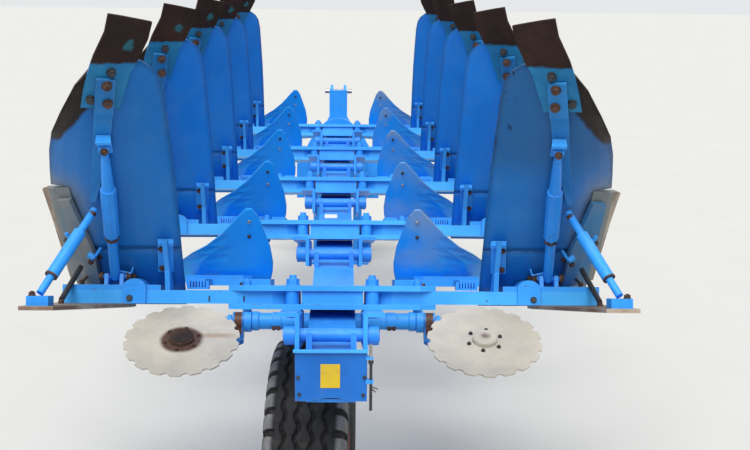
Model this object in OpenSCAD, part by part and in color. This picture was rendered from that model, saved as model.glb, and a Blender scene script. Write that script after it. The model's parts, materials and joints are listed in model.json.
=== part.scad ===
// Mounted reversible mouldboard plough with five pairs of bodies, millimetres.
// X is across, +Y points to the front where it is hitched, +Z is up, and the
// floor is at Z = 0. The frame is turned halfway, as for road transport: the
// bodies lie on their landsides and the mouldboard tails stand up.

/* [Frame] */
// Number of body pairs along the beam
row_count = 5; // [2:1:5]
// Distance between two rows of bodies, along the beam
row_pitch = 1000; // [900:10:1150]
// Place of the rearmost row of legs along Y
rear_row_y = -2354; // [-2500:1:-2200]
// Height of the plane in which the legs lie above the top of the tyre
leg_rise = 215; // [205:5:260]
// Width of the square main beam
beam_w = 140; // [120:5:150]
// Height of the square main beam
beam_h = 140; // [120:5:145]
// Wall of the main beam
beam_wall = 10; // [8:1:14]
// Depth of the beam's top face below the plane of the legs
beam_drop = 54; // [54:1:60]
// Reach of the beam behind the rearmost row
beam_tail = 405; // [395:5:440]
// Reach of the beam ahead of the foremost row
beam_nose = 560; // [540:10:640]
// Angle between the beam and the bodies' direction of travel
body_angle = 14; // [10:1:18]

/* [Legs] */
// Thickness of a leg bar
leg_t = 40; // [30:1:45]
// Depth of a leg bar in the direction of travel
leg_d = 100; // [80:5:110]
// Distance of a leg's inner end from the middle of the beam
leg_in = 97; // [94:1:100]
// Distance of a leg's outer end from the middle of the beam
leg_out = 820; // [800:5:840]
// Thickness of the two plates that hold a pair of legs
holder_t = 16; // [10:1:20]
// Length of those plates, across the beam
holder_w = 630; // [600:10:680]
// Depth of those plates in the direction of travel
holder_d = 150; // [130:5:160]
// Distance of the leg's pivot bolt from the middle of the beam
pivot_x = 122; // [115:1:135]
// Distance of the leg's shear bolt from the middle of the beam
shear_x = 262; // [240:2:280]
// Diameter of the pivot bolts
pivot_bolt_d = 24; // [20:1:30]
// Diameter of the shear bolts
shear_bolt_d = 16; // [12:1:20]
// Wall of the channel brackets beside the beam
channel_t = 12; // [8:1:16]
// Radius of the cross tube that the channel brackets turn on
cross_r = 19; // [16:1:24]
// Distance of the cross tube behind the legs
cross_back = 346; // [340:2:360]
// Depth of the cross tube below the plane of the legs
cross_drop = 99; // [96:1:102]

/* [Bodies] */
// Distance of the share's edge from the middle of the beam
sole_x = 850; // [840:5:865]
// Reach of the share's edge ahead of the leg
point_v = 345; // [335:5:360]
// Angle of the share's edge to the direction of travel
share_angle = 40; // [36:1:44]
// Angle of the share's blade to the furrow sole
foot_angle = 35; // [30:1:40]
// Radius of the curve from the share up to the shin
curve_r = 380; // [340:10:420]
// Width of the share up its slope, as a height above the sole
share_h = 90; // [70:5:110]
// Thickness of the mouldboard plates
board_t = 9; // [6:1:12]
// Thickness of the share
share_t = 12; // [8:1:14]
// Seam between the plates of a body
seam = 0.5; // [0.4:0.1:0.9]
// Reach of the tail extension above the land side
tail_u = 734; // [720:2:750]
// Thickness of the landside plate
landside_t = 12; // [8:1:16]
// Length of the landside behind the leg
landside_back = 430; // [400:5:460]

/* [Skimmers] */
// Distance of a skimmer's edge from the middle of the beam
skim_sole_x = 530; // [515:5:545]
// Reach of a skimmer's edge ahead of the leg
skim_v = 500; // [480:5:520]
// Thickness of a skimmer's board
skim_t = 7; // [5:1:9]
// Width of a skimmer's stem
skim_stem_w = 34; // [28:1:40]

/* [Discs] */
// Diameter of the disc coulters
disc_d = 430; // [400:10:460]
// Thickness of the disc coulters
disc_t = 6; // [4:1:8]
// Number of notches round a disc
disc_notches = 18; // [12:1:24]
// Distance of a disc's hub from the middle of the beam
disc_x = 565; // [550:5:590]
// Distance of the discs' cross stalk ahead of the rearmost legs
stalk_y = 935; // [925:5:945]
// Depth of the discs' cross stalk below the beam
stalk_drop = 153; // [145:1:165]
// Distance of a disc's hub behind its swivel
disc_trail = 184; // [176:1:200]
// Height of a disc above its swivel, square to the disc
disc_lift = 45; // [35:1:55]
// Angle at which a disc hangs from its swivel
disc_hang = 20; // [12:1:26]

/* [Wheel] */
// Diameter of the tyre
tyre_d = 845; // [780:5:850]
// Width of the tyre
tyre_w = 270; // [240:5:280]
// Diameter of the rim
rim_d = 390; // [380:5:410]
// Place of the wheel across the beam
wheel_x = -68; // [-75:1:-60]
// Distance of the wheel's axle ahead of the rearmost legs
wheel_y = 230; // [220:5:240]
// Angle by which the wheel is turned out of line
wheel_yaw = 3; // [0:1:4]
// Distance of the wheel arm's pivot ahead of the rearmost legs
arm_y = 800; // [795:1:805]
// Depth of the wheel arm's pivot below the beam
arm_drop = 54; // [50:1:60]

/* [Headstock] */
// Distance of the headstock's main plate ahead of the foremost legs
stock_y = 960; // [950:5:1000]
// Thickness of the headstock's main plate
stock_t = 30; // [20:2:40]
// Diameter of the turnover shaft
shaft_d = 90; // [80:5:100]
// Radius of the crank that turns the frame over
crank_r = 120; // [110:5:125]
// Distance of the cylinder's foot pin below the turnover shaft
foot_drop = 445; // [435:5:455]
// Depth of the lower hitch pins below the turnover shaft
hitch_drop = 416; // [400:4:440]
// Height from the lower hitch pins to the upper one
mast_h = 685; // [675:5:700]
// Diameter of the lower hitch pins
hitch_pin_d = 36.6; // [28:0.1:36.6]
// Distance between the shoulders of the lower hitch pins
hitch_span = 965; // [825:5:965]
// Length of a lower hitch pin
hitch_pin_l = 90; // [70:5:100]
// Diameter of the upper hitch pin
top_pin_d = 31.8; // [25:0.1:31.8]
// Distance of the lower hitch pins ahead of the main plate
hitch_ahead = 200; // [190:5:220]
// Distance of the parking stands from the middle
stand_x = 140; // [130:5:160]
// Width of a parking stand's square leg
stand_w = 60; // [50:5:70]

/* [Hidden] */
$fn = 48;
// Clearance between a bolt and its hole
bolt_gap = 0.4;
// Running clearance of a shaft in its bearing
run_gap = 0.08;
// Clearance between a curved plate and what carries it
seat_gap = 0.3;

// Whole heights and places that follow from the sizes above
leg_z = tyre_d + leg_rise;
beam_top_z = leg_z - beam_drop;
beam_mid_z = beam_top_z - beam_h / 2;
beam_low_z = beam_top_z - beam_h;
stalk_z = beam_low_z - stalk_drop;
arm_z = beam_low_z - arm_drop;
hitch_z = beam_mid_z - hitch_drop;
front_row_y = rear_row_y + (row_count - 1) * row_pitch;
beam_rear_y = rear_row_y - beam_tail;
beam_front_y = front_row_y + beam_nose;
stock_rear_y = front_row_y + stock_y;
stock_front_y = stock_rear_y + stock_t;
hitch_y = stock_front_y + hitch_ahead;
top_pin_z = hitch_z + mast_h;
wheel_z = tyre_d / 2;
rows = [0 : row_count - 1];

// Shape of a body, as stations along the throw: [throw, lowest height, highest
// height], heights counted from the furrow sole
plate_low = share_h + seam;
shin_u = 150;
mould_stations = [
    [shin_u + seam, plate_low, 391],
    [200, plate_low, 391],
    [250, plate_low, 391],
    [300, plate_low, 391],
    [326, plate_low, 390],
    [338, 20, 390],
    [376, 32, 390],
    [424, 49, 388],
    [468, 74, 387],
    [512, 116, 385],
    [567, 167, 383],
    [606, 213, 376],
    [626, 266, 362],
    [638, 312, 338],
];
shin_stations = [
    [-20, plate_low, 390],
    [60, plate_low, 391],
    [shin_u, plate_low, 391],
];
share_stations = [
    [62, -2, share_h],
    [150, -8, share_h],
    [240, -16, share_h],
    [300, -28, share_h],
    [326, -36, share_h],
    [334, -40, -8],
];
tail_stations = [
    [tail_u - 208, 177, 270],
    [tail_u - 170, 191, 287],
    [tail_u - 122, 213, 306],
    [tail_u - 94, 228, 325],
    [tail_u - 40, 262, 355],
    [tail_u, 276, 368],
];
// Shape of a skimmer: [throw, lowest height, highest height]
skim_stations = [
    [44, 4, 318],
    [85, 4, 328],
    [112, 14, 330],
    [140, 62, 326],
    [165, 116, 322],
    [200, 165, 309],
    [235, 202, 296],
    [262, 228, 285],
    [282, 250, 268],
];

function unit(a) = a / norm(a);

// Angle of the body's curve above the sole at a height h
function curve_turn(h) =
    acos(max(0, cos(foot_angle) - h / curve_r));
// Reach of the body ahead of the leg at its shin, at a height h
function shin_v(h) =
    point_v - curve_r * (sin(curve_turn(h)) - sin(foot_angle)) / sin(share_angle);
// Angle of the body's level lines to the direction of travel, at a height h
function line_angle(h) =
    share_angle - 2 + 9 * pow(h / 370, 2);
// A point of the body's front face: x from the beam, y along the travel, z up
function body_point(u, h) =
    [sole_x - h, shin_v(h) - u / tan(line_angle(h)), u];

// A point of a skimmer's front face
skim_curve_r = 230;
function skim_turn(h) =
    acos(max(0, cos(40) - h / skim_curve_r));
function skim_point(u, h) =
    [skim_sole_x - h,
     skim_v - skim_curve_r * (sin(skim_turn(h)) - sin(40)) / sin(45) - u / tan(44 + 8 * h / 300),
     u];

// Direction across a face, from its points near (u, h)
function body_out(u, h) =
    unit(cross(body_point(u, h + 1) - body_point(u, h - 1),
               body_point(u + 1, h) - body_point(u - 1, h)));
function skim_out(u, h) =
    unit(cross(skim_point(u, h + 1) - skim_point(u, h - 1),
               skim_point(u + 1, h) - skim_point(u - 1, h)));

// Edge along the back of a body or skimmer where it meets a flat plate whose
// upper face is at height u: one point for each height in the list
function body_seat(u, heights, depth) = [for (h = heights)
    let (a = u + depth * body_out(u, h)[2], p = body_point(a, h) - depth * body_out(a, h))
    [p[0], p[1]]];
function skim_seat(u, heights, depth) = [for (h = heights)
    let (a = u + depth * skim_out(u, h)[2], p = skim_point(a, h) - depth * skim_out(a, h))
    [p[0], p[1]]];

// Closed plate over a grid of stations. Its front lies depth_a behind the face,
// its back depth_b behind it, both more by a station's fourth value, where it
// has one; kind is "body" or "skim".
module plate(stations, steps, depth_a, depth_b, kind = "body") {
    n = len(stations);
    m = steps + 1;
    uh = [for (s = stations, j = [0 : steps])
        [s[0], s[1] + (s[2] - s[1]) * j / steps, len(s) > 3 ? s[3] : 0]];
    function face_point(p, depth) =
        kind == "body"
            ? body_point(p[0], p[1]) - (depth + p[2]) * body_out(p[0], p[1])
            : skim_point(p[0], p[1]) - (depth + p[2]) * skim_out(p[0], p[1]);
    front = [for (p = uh) face_point(p, depth_a)];
    back = [for (p = uh) face_point(p, depth_b)];
    function at(i, j) = i * m + j;
    quads = [for (i = [0 : n - 2], j = [0 : steps - 1])
        [at(i, j), at(i + 1, j), at(i + 1, j + 1), at(i, j + 1)]];
    rim = concat(
        [for (j = [0 : steps]) at(0, j)],
        [for (i = [1 : n - 1]) at(i, steps)],
        [for (j = [1 : steps]) at(n - 1, steps - j)],
        [for (i = [1 : n - 2]) at(n - 1 - i, 0)]);
    k = len(rim);
    polyhedron(
        points = concat(front, back),
        faces = concat(
            [for (q = quads) [q[0], q[1], q[2]]],
            [for (q = quads) [q[0], q[2], q[3]]],
            [for (q = quads) [q[2] + n * m, q[1] + n * m, q[0] + n * m]],
            [for (q = quads) [q[3] + n * m, q[2] + n * m, q[0] + n * m]],
            [for (i = [0 : k - 1]) [rim[i], rim[(i + 1) % k], rim[(i + 1) % k] + n * m]],
            [for (i = [0 : k - 1]) [rim[i], rim[(i + 1) % k] + n * m, rim[i] + n * m]]));
}

// Frame of one row: x across, y along the bodies' travel, z their throw
module at_row(i) {
    translate([0, rear_row_y + i * row_pitch, leg_z])
        rotate([-body_angle, 0, 0])
            children();
}
module each_row() {
    for (i = rows)
        at_row(i) children();
}
// A piece on the right and its mirror image on the left
module both_sides() {
    children();
    mirror([1, 0, 0]) children();
}
module body_pairs() {
    each_row()
        both_sides()
            children();
}
// Plate cut to an outline in the plane of x and y, from z0 to z0 + t
module flat_plate(outline, z0, t) {
    translate([0, 0, z0])
        linear_extrude(t) polygon(outline);
}
// Plate cut to an outline in the plane of y and z, from x0 to x0 + t
module side_plate(outline, x0, t) {
    translate([x0, 0, 0])
        rotate([90, 0, 90])
            linear_extrude(t) polygon(outline);
}
// Round bar along X
module x_bar(r, x0, x1) {
    translate([x0, 0, 0])
        rotate([0, 90, 0])
            cylinder(r = r, h = x1 - x0);
}
// Round bar along Y
module y_bar(r, y0, y1) {
    translate([0, y1, 0])
        rotate([90, 0, 0])
            cylinder(r = r, h = y1 - y0);
}
// Round bar from one point to another
module bar_between(a, b, r, r_end = 0, sides = $fn) {
    d = b - a;
    translate(a)
        rotate([0, acos(d[2] / norm(d)), atan2(d[1], d[0])])
            cylinder(r1 = r, r2 = r_end > 0 ? r_end : r, h = norm(d), $fn = sides);
}
// Bolt along Z with a six-sided head below, and a washer, nut and domed cap above
module bolt(d, z0, z1) {
    translate([0, 0, z0 - 0.65 * d])
        cylinder(d = 1.7 * d, h = 0.65 * d, $fn = 6);
    translate([0, 0, z0])
        cylinder(d = d, h = z1 - z0);
    translate([0, 0, z1]) {
        cylinder(d = 1.9 * d, h = 0.12 * d);
        cylinder(d = 1.7 * d, h = 0.85 * d, $fn = 6);
        cylinder(d1 = 1.3 * d, d2 = 0.9 * d, h = 1.35 * d);
    }
}

blue = [0.10, 0.42, 0.86];
worn = [0.32, 0.20, 0.16];
steel = [0.70, 0.71, 0.72];
black = [0.10, 0.10, 0.11];

// Main beam: one long square tube
module main_beam() {
    color(blue)
        difference() {
            translate([-beam_w / 2, beam_rear_y, beam_low_z])
                cube([beam_w, beam_front_y - beam_rear_y, beam_h]);
            translate([-beam_w / 2 + beam_wall, beam_rear_y - 1, beam_low_z + beam_wall])
                cube([beam_w - 2 * beam_wall, beam_front_y - beam_rear_y + 2, beam_h - 2 * beam_wall]);
        }
}

// Plate that closes the beam's rear end, with an arched lower edge
end_plate_w = 200;
end_plate_h = 132;
end_plate_t = 15;
end_lip = 22;
end_lip_t = 8;
module rear_plate() {
    color(blue)
        translate([0, beam_rear_y, beam_top_z]) {
            rotate([90, 0, 0])
                linear_extrude(end_plate_t)
                    difference() {
                        translate([-end_plate_w / 2, -end_plate_h])
                            square([end_plate_w, end_plate_h]);
                        translate([0, -end_plate_h - 190])
                            circle(r = 200, $fn = 96);
                    }
            translate([-end_plate_w / 2, -end_plate_t, 0])
                cube([end_plate_w, end_lip, end_lip_t]);
        }
}

// Two plates and a web that hold a pair of legs, one set a row
holder_taper = 50;
holder_end = 45;
module holder_outline() {
    w = holder_w / 2;
    d = holder_d / 2;
    difference() {
        polygon([
            [-w, -holder_end], [-w + holder_taper, -d], [w - holder_taper, -d], [w, -holder_end],
            [w, holder_end], [w - holder_taper, d], [-w + holder_taper, d], [-w, holder_end]]);
        for (s = [-1, 1]) {
            translate([s * pivot_x, 0])
                circle(d = pivot_bolt_d + 2 * bolt_gap);
            translate([s * shear_x, 0])
                circle(d = shear_bolt_d + 2 * bolt_gap);
        }
    }
}
module leg_holders() {
    color(blue)
        each_row() {
            translate([0, 0, leg_t / 2])
                linear_extrude(holder_t) holder_outline();
            translate([0, 0, -leg_t / 2 - holder_t])
                linear_extrude(holder_t) holder_outline();
            translate([-leg_in + 4, -holder_d / 2 + 12, -leg_t / 2])
                cube([2 * leg_in - 8, 14, leg_t]);
        }
}

// Pivot bolts and shear bolts through the holders and the legs
module holder_bolts() {
    stack = leg_t / 2 + holder_t;
    color(steel)
        body_pairs() {
            translate([pivot_x, 0, 0]) bolt(pivot_bolt_d, -stack - channel_t, stack);
            translate([shear_x, 0, 0]) bolt(shear_bolt_d, -stack, stack);
        }
}

// Leg bars, one a body
module legs() {
    eye_r = pivot_x - leg_in;
    neck = pivot_x + 60;
    color(blue)
        body_pairs()
            translate([0, 0, -leg_t / 2])
                linear_extrude(leg_t)
                    difference() {
                        union() {
                            polygon([
                                [neck, -leg_d / 2], [leg_out - 20, -leg_d / 2],
                                [leg_out, -leg_d / 2 + 20], [leg_out, leg_d / 2 - 30],
                                [leg_out - 30, leg_d / 2], [neck, leg_d / 2],
                                [pivot_x, eye_r], [pivot_x, -eye_r]]);
                            translate([pivot_x, 0])
                                circle(r = eye_r);
                        }
                        translate([pivot_x, 0])
                            circle(d = pivot_bolt_d + 2 * bolt_gap);
                        translate([shear_x, 0])
                            circle(d = shear_bolt_d + 2 * bolt_gap);
                    }
}

// Channel brackets that carry a leg holder, one on each side of the beam
channel_gap = 19;
channel_w = 60;
channel_low = 140;
module channels() {
    top = -leg_t / 2 - holder_t;
    x0 = beam_w / 2 + channel_gap;
    color(blue)
        body_pairs()
            difference() {
                translate([x0, holder_d / 2 - 20, 0])
                    rotate([90, 0, 0])
                        linear_extrude(holder_d / 2 - 20 + cross_back + 34)
                            polygon([
                                [0, top - 8], [8, top], [channel_w, top],
                                [channel_w, top - channel_t], [channel_t, top - channel_t],
                                [channel_t, -channel_low], [0, -channel_low]]);
                translate([0, -cross_back, -cross_drop])
                    x_bar(cross_r + bolt_gap, x0 - 1, x0 + channel_w);
                translate([pivot_x, 0, top - 2 * channel_t])
                    cylinder(d = pivot_bolt_d + 2 * bolt_gap, h = 3 * channel_t);
            }
}

// Cross tubes on the beam that the brackets turn on, with their lugs and bosses
module cross_tubes() {
    x0 = beam_w / 2 + channel_gap;
    end = x0 + channel_t + 34;
    // Place of the tube in the beam's own frame
    y = -cross_back * cos(body_angle) - cross_drop * sin(body_angle);
    z = leg_z + cross_back * sin(body_angle) - cross_drop * cos(body_angle);
    color(blue)
        for (i = rows)
            translate([0, rear_row_y + i * row_pitch + y, 0])
                difference() {
                    union() {
                        translate([0, 0, z]) {
                            x_bar(cross_r, -end, end);
                            for (s = [-1, 1])
                                x_bar(cross_r + 9,
                                      s > 0 ? x0 + channel_t + 1 : -end + 3,
                                      s > 0 ? end - 3 : -x0 - channel_t - 1);
                        }
                        for (s = [-1, 1])
                            side_plate([
                                [-36, beam_top_z], [36, beam_top_z], [22, z + 12], [-22, z + 12]],
                                s > 0 ? beam_w / 2 - 16 : -beam_w / 2, 16);
                    }
                    translate([0, 0, z])
                        x_bar(cross_r - 7, -end - 1, end + 1);
                }
}

// Frog plates that lie on the legs and carry the body's plates
frog_t = 16;
frog_top = leg_t / 2 + frog_t;
shoe_x = 598;
shoe_w = 68;
shoe_rise = 19;
module shoe_arch() {
    r = (pow(shoe_w / 2, 2) + pow(shoe_rise, 2)) / (2 * shoe_rise);
    intersection() {
        translate([0, frog_top + seat_gap + shoe_rise - r])
            circle(r = r);
        translate([-shoe_w / 2, frog_top + seat_gap])
            square([shoe_w, 2 * shoe_rise]);
    }
}
module frogs() {
    u0 = leg_t / 2;
    color(blue)
        body_pairs() {
            flat_plate(concat(
                [[leg_out, -leg_d / 2 + 20], [leg_out, 0]],
                body_seat(u0 + frog_t, [share_h + 8 : 26 : 320], board_t + seat_gap),
                [[leg_out - 300, -leg_d / 2], [leg_out - 20, -leg_d / 2]]),
                u0, frog_t);
            // Shoe over the frog, with a lip behind the leg
            translate([shoe_x, 20, 0])
                rotate([90, 0, 0])
                    linear_extrude(20 + leg_d / 2 + 13) shoe_arch();
            translate([shoe_x, -leg_d / 2 - seat_gap, 0])
                rotate([90, 0, 0])
                    linear_extrude(12)
                        translate([-shoe_w / 2, -leg_t / 2])
                            square([shoe_w, leg_t / 2 + frog_top]);
        }
}

// Rails behind the shares, between the frog and the share's wing
rail_t = 14;
rail_front = share_t + 1;
rail_low = share_h / 2 + 2;
rail_high = share_h * 1.5;
// Throw at which the rail's back edge stands on the frog
rail_u = frog_top + seat_gap + (rail_front + rail_t) * body_out(60, rail_high)[2];
share_rail_stations = [
    [rail_u, rail_low, rail_high],
    [150, rail_low, rail_high],
    [240, rail_low, share_h + 20],
    [300, rail_low, share_h + 4],
];
module share_rails() {
    color(blue)
        body_pairs()
            plate(share_rail_stations, 2, rail_front, rail_front + rail_t);
}

// Upright brackets between leg and mouldboard, near the body's upper edge
board_bracket_x = 492;
bracket_t = 10;
bracket_flange = 14;
bracket_stations = [
    [90, 315, 361],
    [136, 319, 364],
    [182, 323, 367],
];
module board_brackets() {
    h = sole_x - board_bracket_x - 14;
    back = board_t + 2.2 + bracket_t;
    face = [for (u = [leg_t / 2 : 24 : 190])
        let (p = body_point(u, h) - (back + 1.5) * body_out(u, h))
        [p[1], p[2]]];
    color(blue)
        body_pairs() {
            side_plate(concat(
                [[-leg_d / 2, leg_t / 2]],
                [[face[0][0] - 8, leg_t / 2]],
                [for (f = face) if (f[1] > leg_t / 2) f],
                [[face[len(face) - 1][0] - 34, face[len(face) - 1][1] - 4],
                 [-leg_d / 2 - 20, 80]]),
                board_bracket_x, 14);
            plate(bracket_stations, 2, back - bracket_t, back);
            plate([[176, 323, 367], [184, 323, 367]], 1, back + seat_gap, back + bracket_flange);
        }
}

// Adjustable stays from the leg to the back of the mouldboard
stay_x = 662;
stay_u = 443;
stay_head_h = 222;
stay_r = 15;
stay_sleeve_r = 23;
stay_neck_r = 12.5;
stay_lug_gap = 17;
stay_lug_t = 12;
module stays() {
    foot = [stay_x, -22, frog_top + 24];
    eye_depth = strap_back + stay_head_t + stay_eye_r + seat_gap;
    head = body_point(stay_u, stay_head_h) - eye_depth * body_out(stay_u, stay_head_h);
    function along(t) = foot + t * (head - foot);
    color(blue)
        body_pairs() {
            bar_between(foot, along(0.36), stay_r);
            bar_between(along(0.325), along(0.352), stay_r + 4, 0, 6);
            bar_between(along(0.355), along(0.71), stay_sleeve_r, 0, 8);
            bar_between(along(0.70), along(0.93), stay_r + 3, stay_neck_r);
            bar_between(along(0.92), head, stay_neck_r - 2);
            translate([0, head[1], head[2]])
                x_bar(stay_eye_r, head[0] - 14, head[0] + 14);
            // Lugs on the frog
            for (x = [stay_x - stay_lug_gap - stay_lug_t, stay_x + stay_lug_gap])
                side_plate([
                    [-50, frog_top], [8, frog_top], [0, frog_top + 34], [-42, frog_top + 34]],
                    x, stay_lug_t);
            translate([0, foot[1], foot[2]])
                x_bar(8, stay_x - stay_lug_gap - stay_lug_t - 8, stay_x + stay_lug_gap + stay_lug_t + 8);
        }
}
stay_eye_r = 12;
stay_head_t = 10;
stay_head_w = 34;
module stay_heads() {
    low = stay_head_h - stay_head_w / 2;
    high = stay_head_h + stay_head_w / 2;
    color(blue)
        body_pairs() {
            plate([[stay_u - 18, low, high], [stay_u + 20, low, high]], 1,
                  strap_back + 0.8, strap_back + stay_head_t);
            // Flange over the eye
            plate([[stay_u + 15, low, high], [stay_u + 21, low, high]], 1,
                  strap_back + stay_head_t + seat_gap, strap_back + stay_head_t + 2 * stay_eye_r);
        }
}

// Flat straps on the backs of the mouldboards, over the tail extensions
tail_t = 8;
tail_front = board_t + 2;
strap_front = board_t + 2.4;
strap_t = 9;
strap_back = strap_front + strap_t;
strap_lift = tail_front + tail_t + 3 - strap_front;
strap_stations = [
    [293, 154, 171, 0],
    [354, 170, 198, 0],
    [410, 184, 221, 0],
    [470, 198, 242, 0],
    [tail_u - 232, 205, 249, 0],
    [tail_u - 216, 209, 253, strap_lift],
    [tail_u - 176, 218, 261, strap_lift],
    [tail_u - 137, 227, 268, strap_lift],
];
module straps() {
    color(blue)
        body_pairs()
            plate(strap_stations, 1, strap_front, strap_back);
}

// Struts from the rearmost mouldboards to the heels of their landsides
heel_bar_r = 11;
heel_block_h = 27;
module heel_struts() {
    h = 163;
    head = body_point(272, h) - (board_t + 14) * body_out(272, h);
    base = [sole_x - 44, -landside_back + 62, heel_block_h - leg_t / 2];
    lean = norm([head[0] - base[0], head[1] - base[1]]) / norm(head - base);
    foot = base + [0, 0, heel_bar_r * lean + seat_gap];
    function along(t) = foot + t * (head - foot);
    color(blue)
        at_row(0)
            both_sides() {
                bar_between(foot, along(0.30), heel_bar_r);
                bar_between(along(0.20), along(0.72), heel_bar_r + 7);
                bar_between(along(0.7), head, heel_bar_r);
                translate([sole_x - 74, -landside_back + 28, -leg_t / 2])
                    cube([60, 68, heel_block_h]);
            }
}

// Shins, the replaceable front strips of the mouldboards
module shins() {
    color(blue)
        body_pairs()
            plate(shin_stations, 6, 0, board_t);
}

// Mouldboards
module mouldboards() {
    color(blue)
        body_pairs()
            plate(mould_stations, 7, 0, board_t);
}

// Extensions bolted behind the mouldboards' tails
module tail_extensions() {
    color(worn)
        body_pairs()
            plate(tail_stations, 3, tail_front, tail_front + tail_t);
}

// Shares along the furrow sole
module shares() {
    color(worn)
        body_pairs()
            plate(share_stations, 2, 0, share_t);
}

// Chisel points at the land side of the shares
point_reach = 110;
point_clear = 5.2;
module points() {
    slope = tan(foot_angle);
    v_at = body_point(20, 0)[1];
    color(worn)
        body_pairs()
            flat_plate([
                [sole_x + 8, v_at + point_reach],
                [sole_x - share_h + point_clear, body_point(20, share_h)[1] + 14],
                [sole_x - share_h + point_clear, body_point(20, share_h)[1] - 6],
                [sole_x - 4, v_at - 20]],
                -20, 80);
}

// Landside plates under the legs, with their long heels
module landsides() {
    color(steel)
        body_pairs()
            flat_plate([
                [sole_x - 60, point_v - 150], [sole_x, point_v - 190], [sole_x, -landside_back],
                [sole_x - 92, -landside_back + 10], [610, -leg_d / 2], [610, leg_d / 2],
                [sole_x - 130, leg_d / 2 + 60]],
                -leg_t / 2 - landside_t, landside_t);
}

// Skimmers, one ahead of each body
module skimmers() {
    color(blue)
        body_pairs()
            plate(skim_stations, 4, 0, skim_t, "skim");
}
// Stems that hold the skimmers to the leg holders
skim_bar_t = 22;
skim_bar_u = 32;
skim_arm_x = 196;
comb_w = 52;
comb_gap = 9;
module comb(x, w) {
    difference() {
        translate([x, leg_d / 2, leg_t / 2 + 2])
            cube([w, 40, 26]);
        for (k = [1 : floor(w / comb_gap) - 1])
            translate([x + k * comb_gap, leg_d / 2 - 1, leg_t / 2 + 8])
                cube([4, 30, 30]);
    }
}
module skimmer_stems() {
    top = skim_bar_u + skim_bar_t;
    front = holder_d / 2;
    color(blue)
        body_pairs() {
            translate([skim_arm_x, 286, skim_bar_u])
                cube([290, skim_stem_w, skim_bar_t]);
            translate([skim_arm_x, front, skim_bar_u])
                cube([50, 300 - front, skim_bar_t]);
            translate([skim_arm_x, front, -leg_t / 2 - holder_t])
                cube([50, 22, leg_t / 2 + holder_t + top]);
            translate([400, leg_d / 2 + 30, skim_bar_u])
                cube([comb_w, 290 - leg_d / 2 - 30, skim_bar_t]);
            comb(386, comb_w + 16);
            flat_plate(concat(
                [[440, 292], [486, 292]],
                skim_seat(top + 12, [60 : 40 : 260], skim_t + seat_gap),
                [[300, 292]]),
                top, 12);
        }
}

// Cross stalk of the disc coulters, hung under the beam
stalk_r = 32;
stalk_end = 348;
ring_in = 319;
ring_r = 43;
swivel_r = 16;
swivel_w = 42;
module disc_stalk() {
    y0 = rear_row_y + stalk_y;
    nut_in = stalk_end + swivel_w + 6;
    color(blue)
        translate([0, y0, 0]) {
            translate([0, 0, stalk_z]) {
                x_bar(stalk_r, -stalk_end, stalk_end);
                x_bar(swivel_r, -nut_in - 18, nut_in + 18);
                for (s = [-1, 1]) {
                    x_bar(ring_r, s > 0 ? ring_in : -stalk_end + 3, s > 0 ? stalk_end - 3 : -ring_in);
                    x_bar(24, s > 0 ? nut_in : -nut_in - 14, s > 0 ? nut_in + 14 : -nut_in);
                }
            }
            for (s = [-1, 1])
                side_plate([
                    [-40, beam_low_z], [40, beam_low_z], [26, stalk_z - 36], [-26, stalk_z - 36]],
                    s * 55 - 7, 14);
        }
}

// Wheel arm and wheel, trailing from a pivot under the beam
hanger_in = 58;
hanger_t = 15;
module wheel_hanger() {
    color(blue)
        translate([0, rear_row_y + arm_y, 0])
            for (s = [-1, 1])
                difference() {
                    side_plate([
                        [-70, beam_low_z], [50, beam_low_z], [40, arm_z - 36], [-40, arm_z - 36]],
                        s > 0 ? hanger_in : -hanger_in - hanger_t, hanger_t);
                    translate([0, 0, arm_z])
                        x_bar(arm_pin_r, -100, 100);
                }
}
// Pin that the wheel arm swings on
arm_pin_r = 17;
module wheel_arm_pin() {
    color(steel)
        translate([0, rear_row_y + arm_y, arm_z])
            x_bar(arm_pin_r - run_gap, -hanger_in - hanger_t - 8, hanger_in + hanger_t + 8);
}
arm_bar_x = -236;
arm_bar_t = 24;
axle_r = 25;
axle_in = -140;
module wheel_arm() {
    y0 = rear_row_y + arm_y;
    y1 = rear_row_y + wheel_y;
    color(blue) {
        translate([0, y0, arm_z]) {
            difference() {
                x_bar(34, -hanger_in + 2, hanger_in - 2);
                x_bar(arm_pin_r, -100, 100);
            }
        }
        difference() {
            translate([-45, y0 - 45, wheel_z - 45])
                cube([90, 80, arm_z - wheel_z + 45]);
            translate([0, y0, arm_z])
                x_bar(33.9, -100, 100);
        }
        translate([arm_bar_x, y0 - 45, wheel_z - 45])
            cube([-arm_bar_x - 45, 80, 80]);
        hull() {
            translate([arm_bar_x, y0 - 30, wheel_z - 45])
                cube([arm_bar_t, 60, 80]);
            translate([arm_bar_x, y1, wheel_z])
                x_bar(48, 0, arm_bar_t);
        }
        at_wheel()
            x_bar(38, axle_in - 16, axle_in);
    }
}
module at_wheel() {
    translate([wheel_x, rear_row_y + wheel_y, wheel_z])
        rotate([0, 0, -wheel_yaw])
            children();
}
module wheel_axle() {
    color(steel)
        at_wheel()
            x_bar(axle_r, axle_in, hub_half);
}
hub_r = axle_r + 35;
hub_half = 60;
rim_wall = 20;
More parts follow.
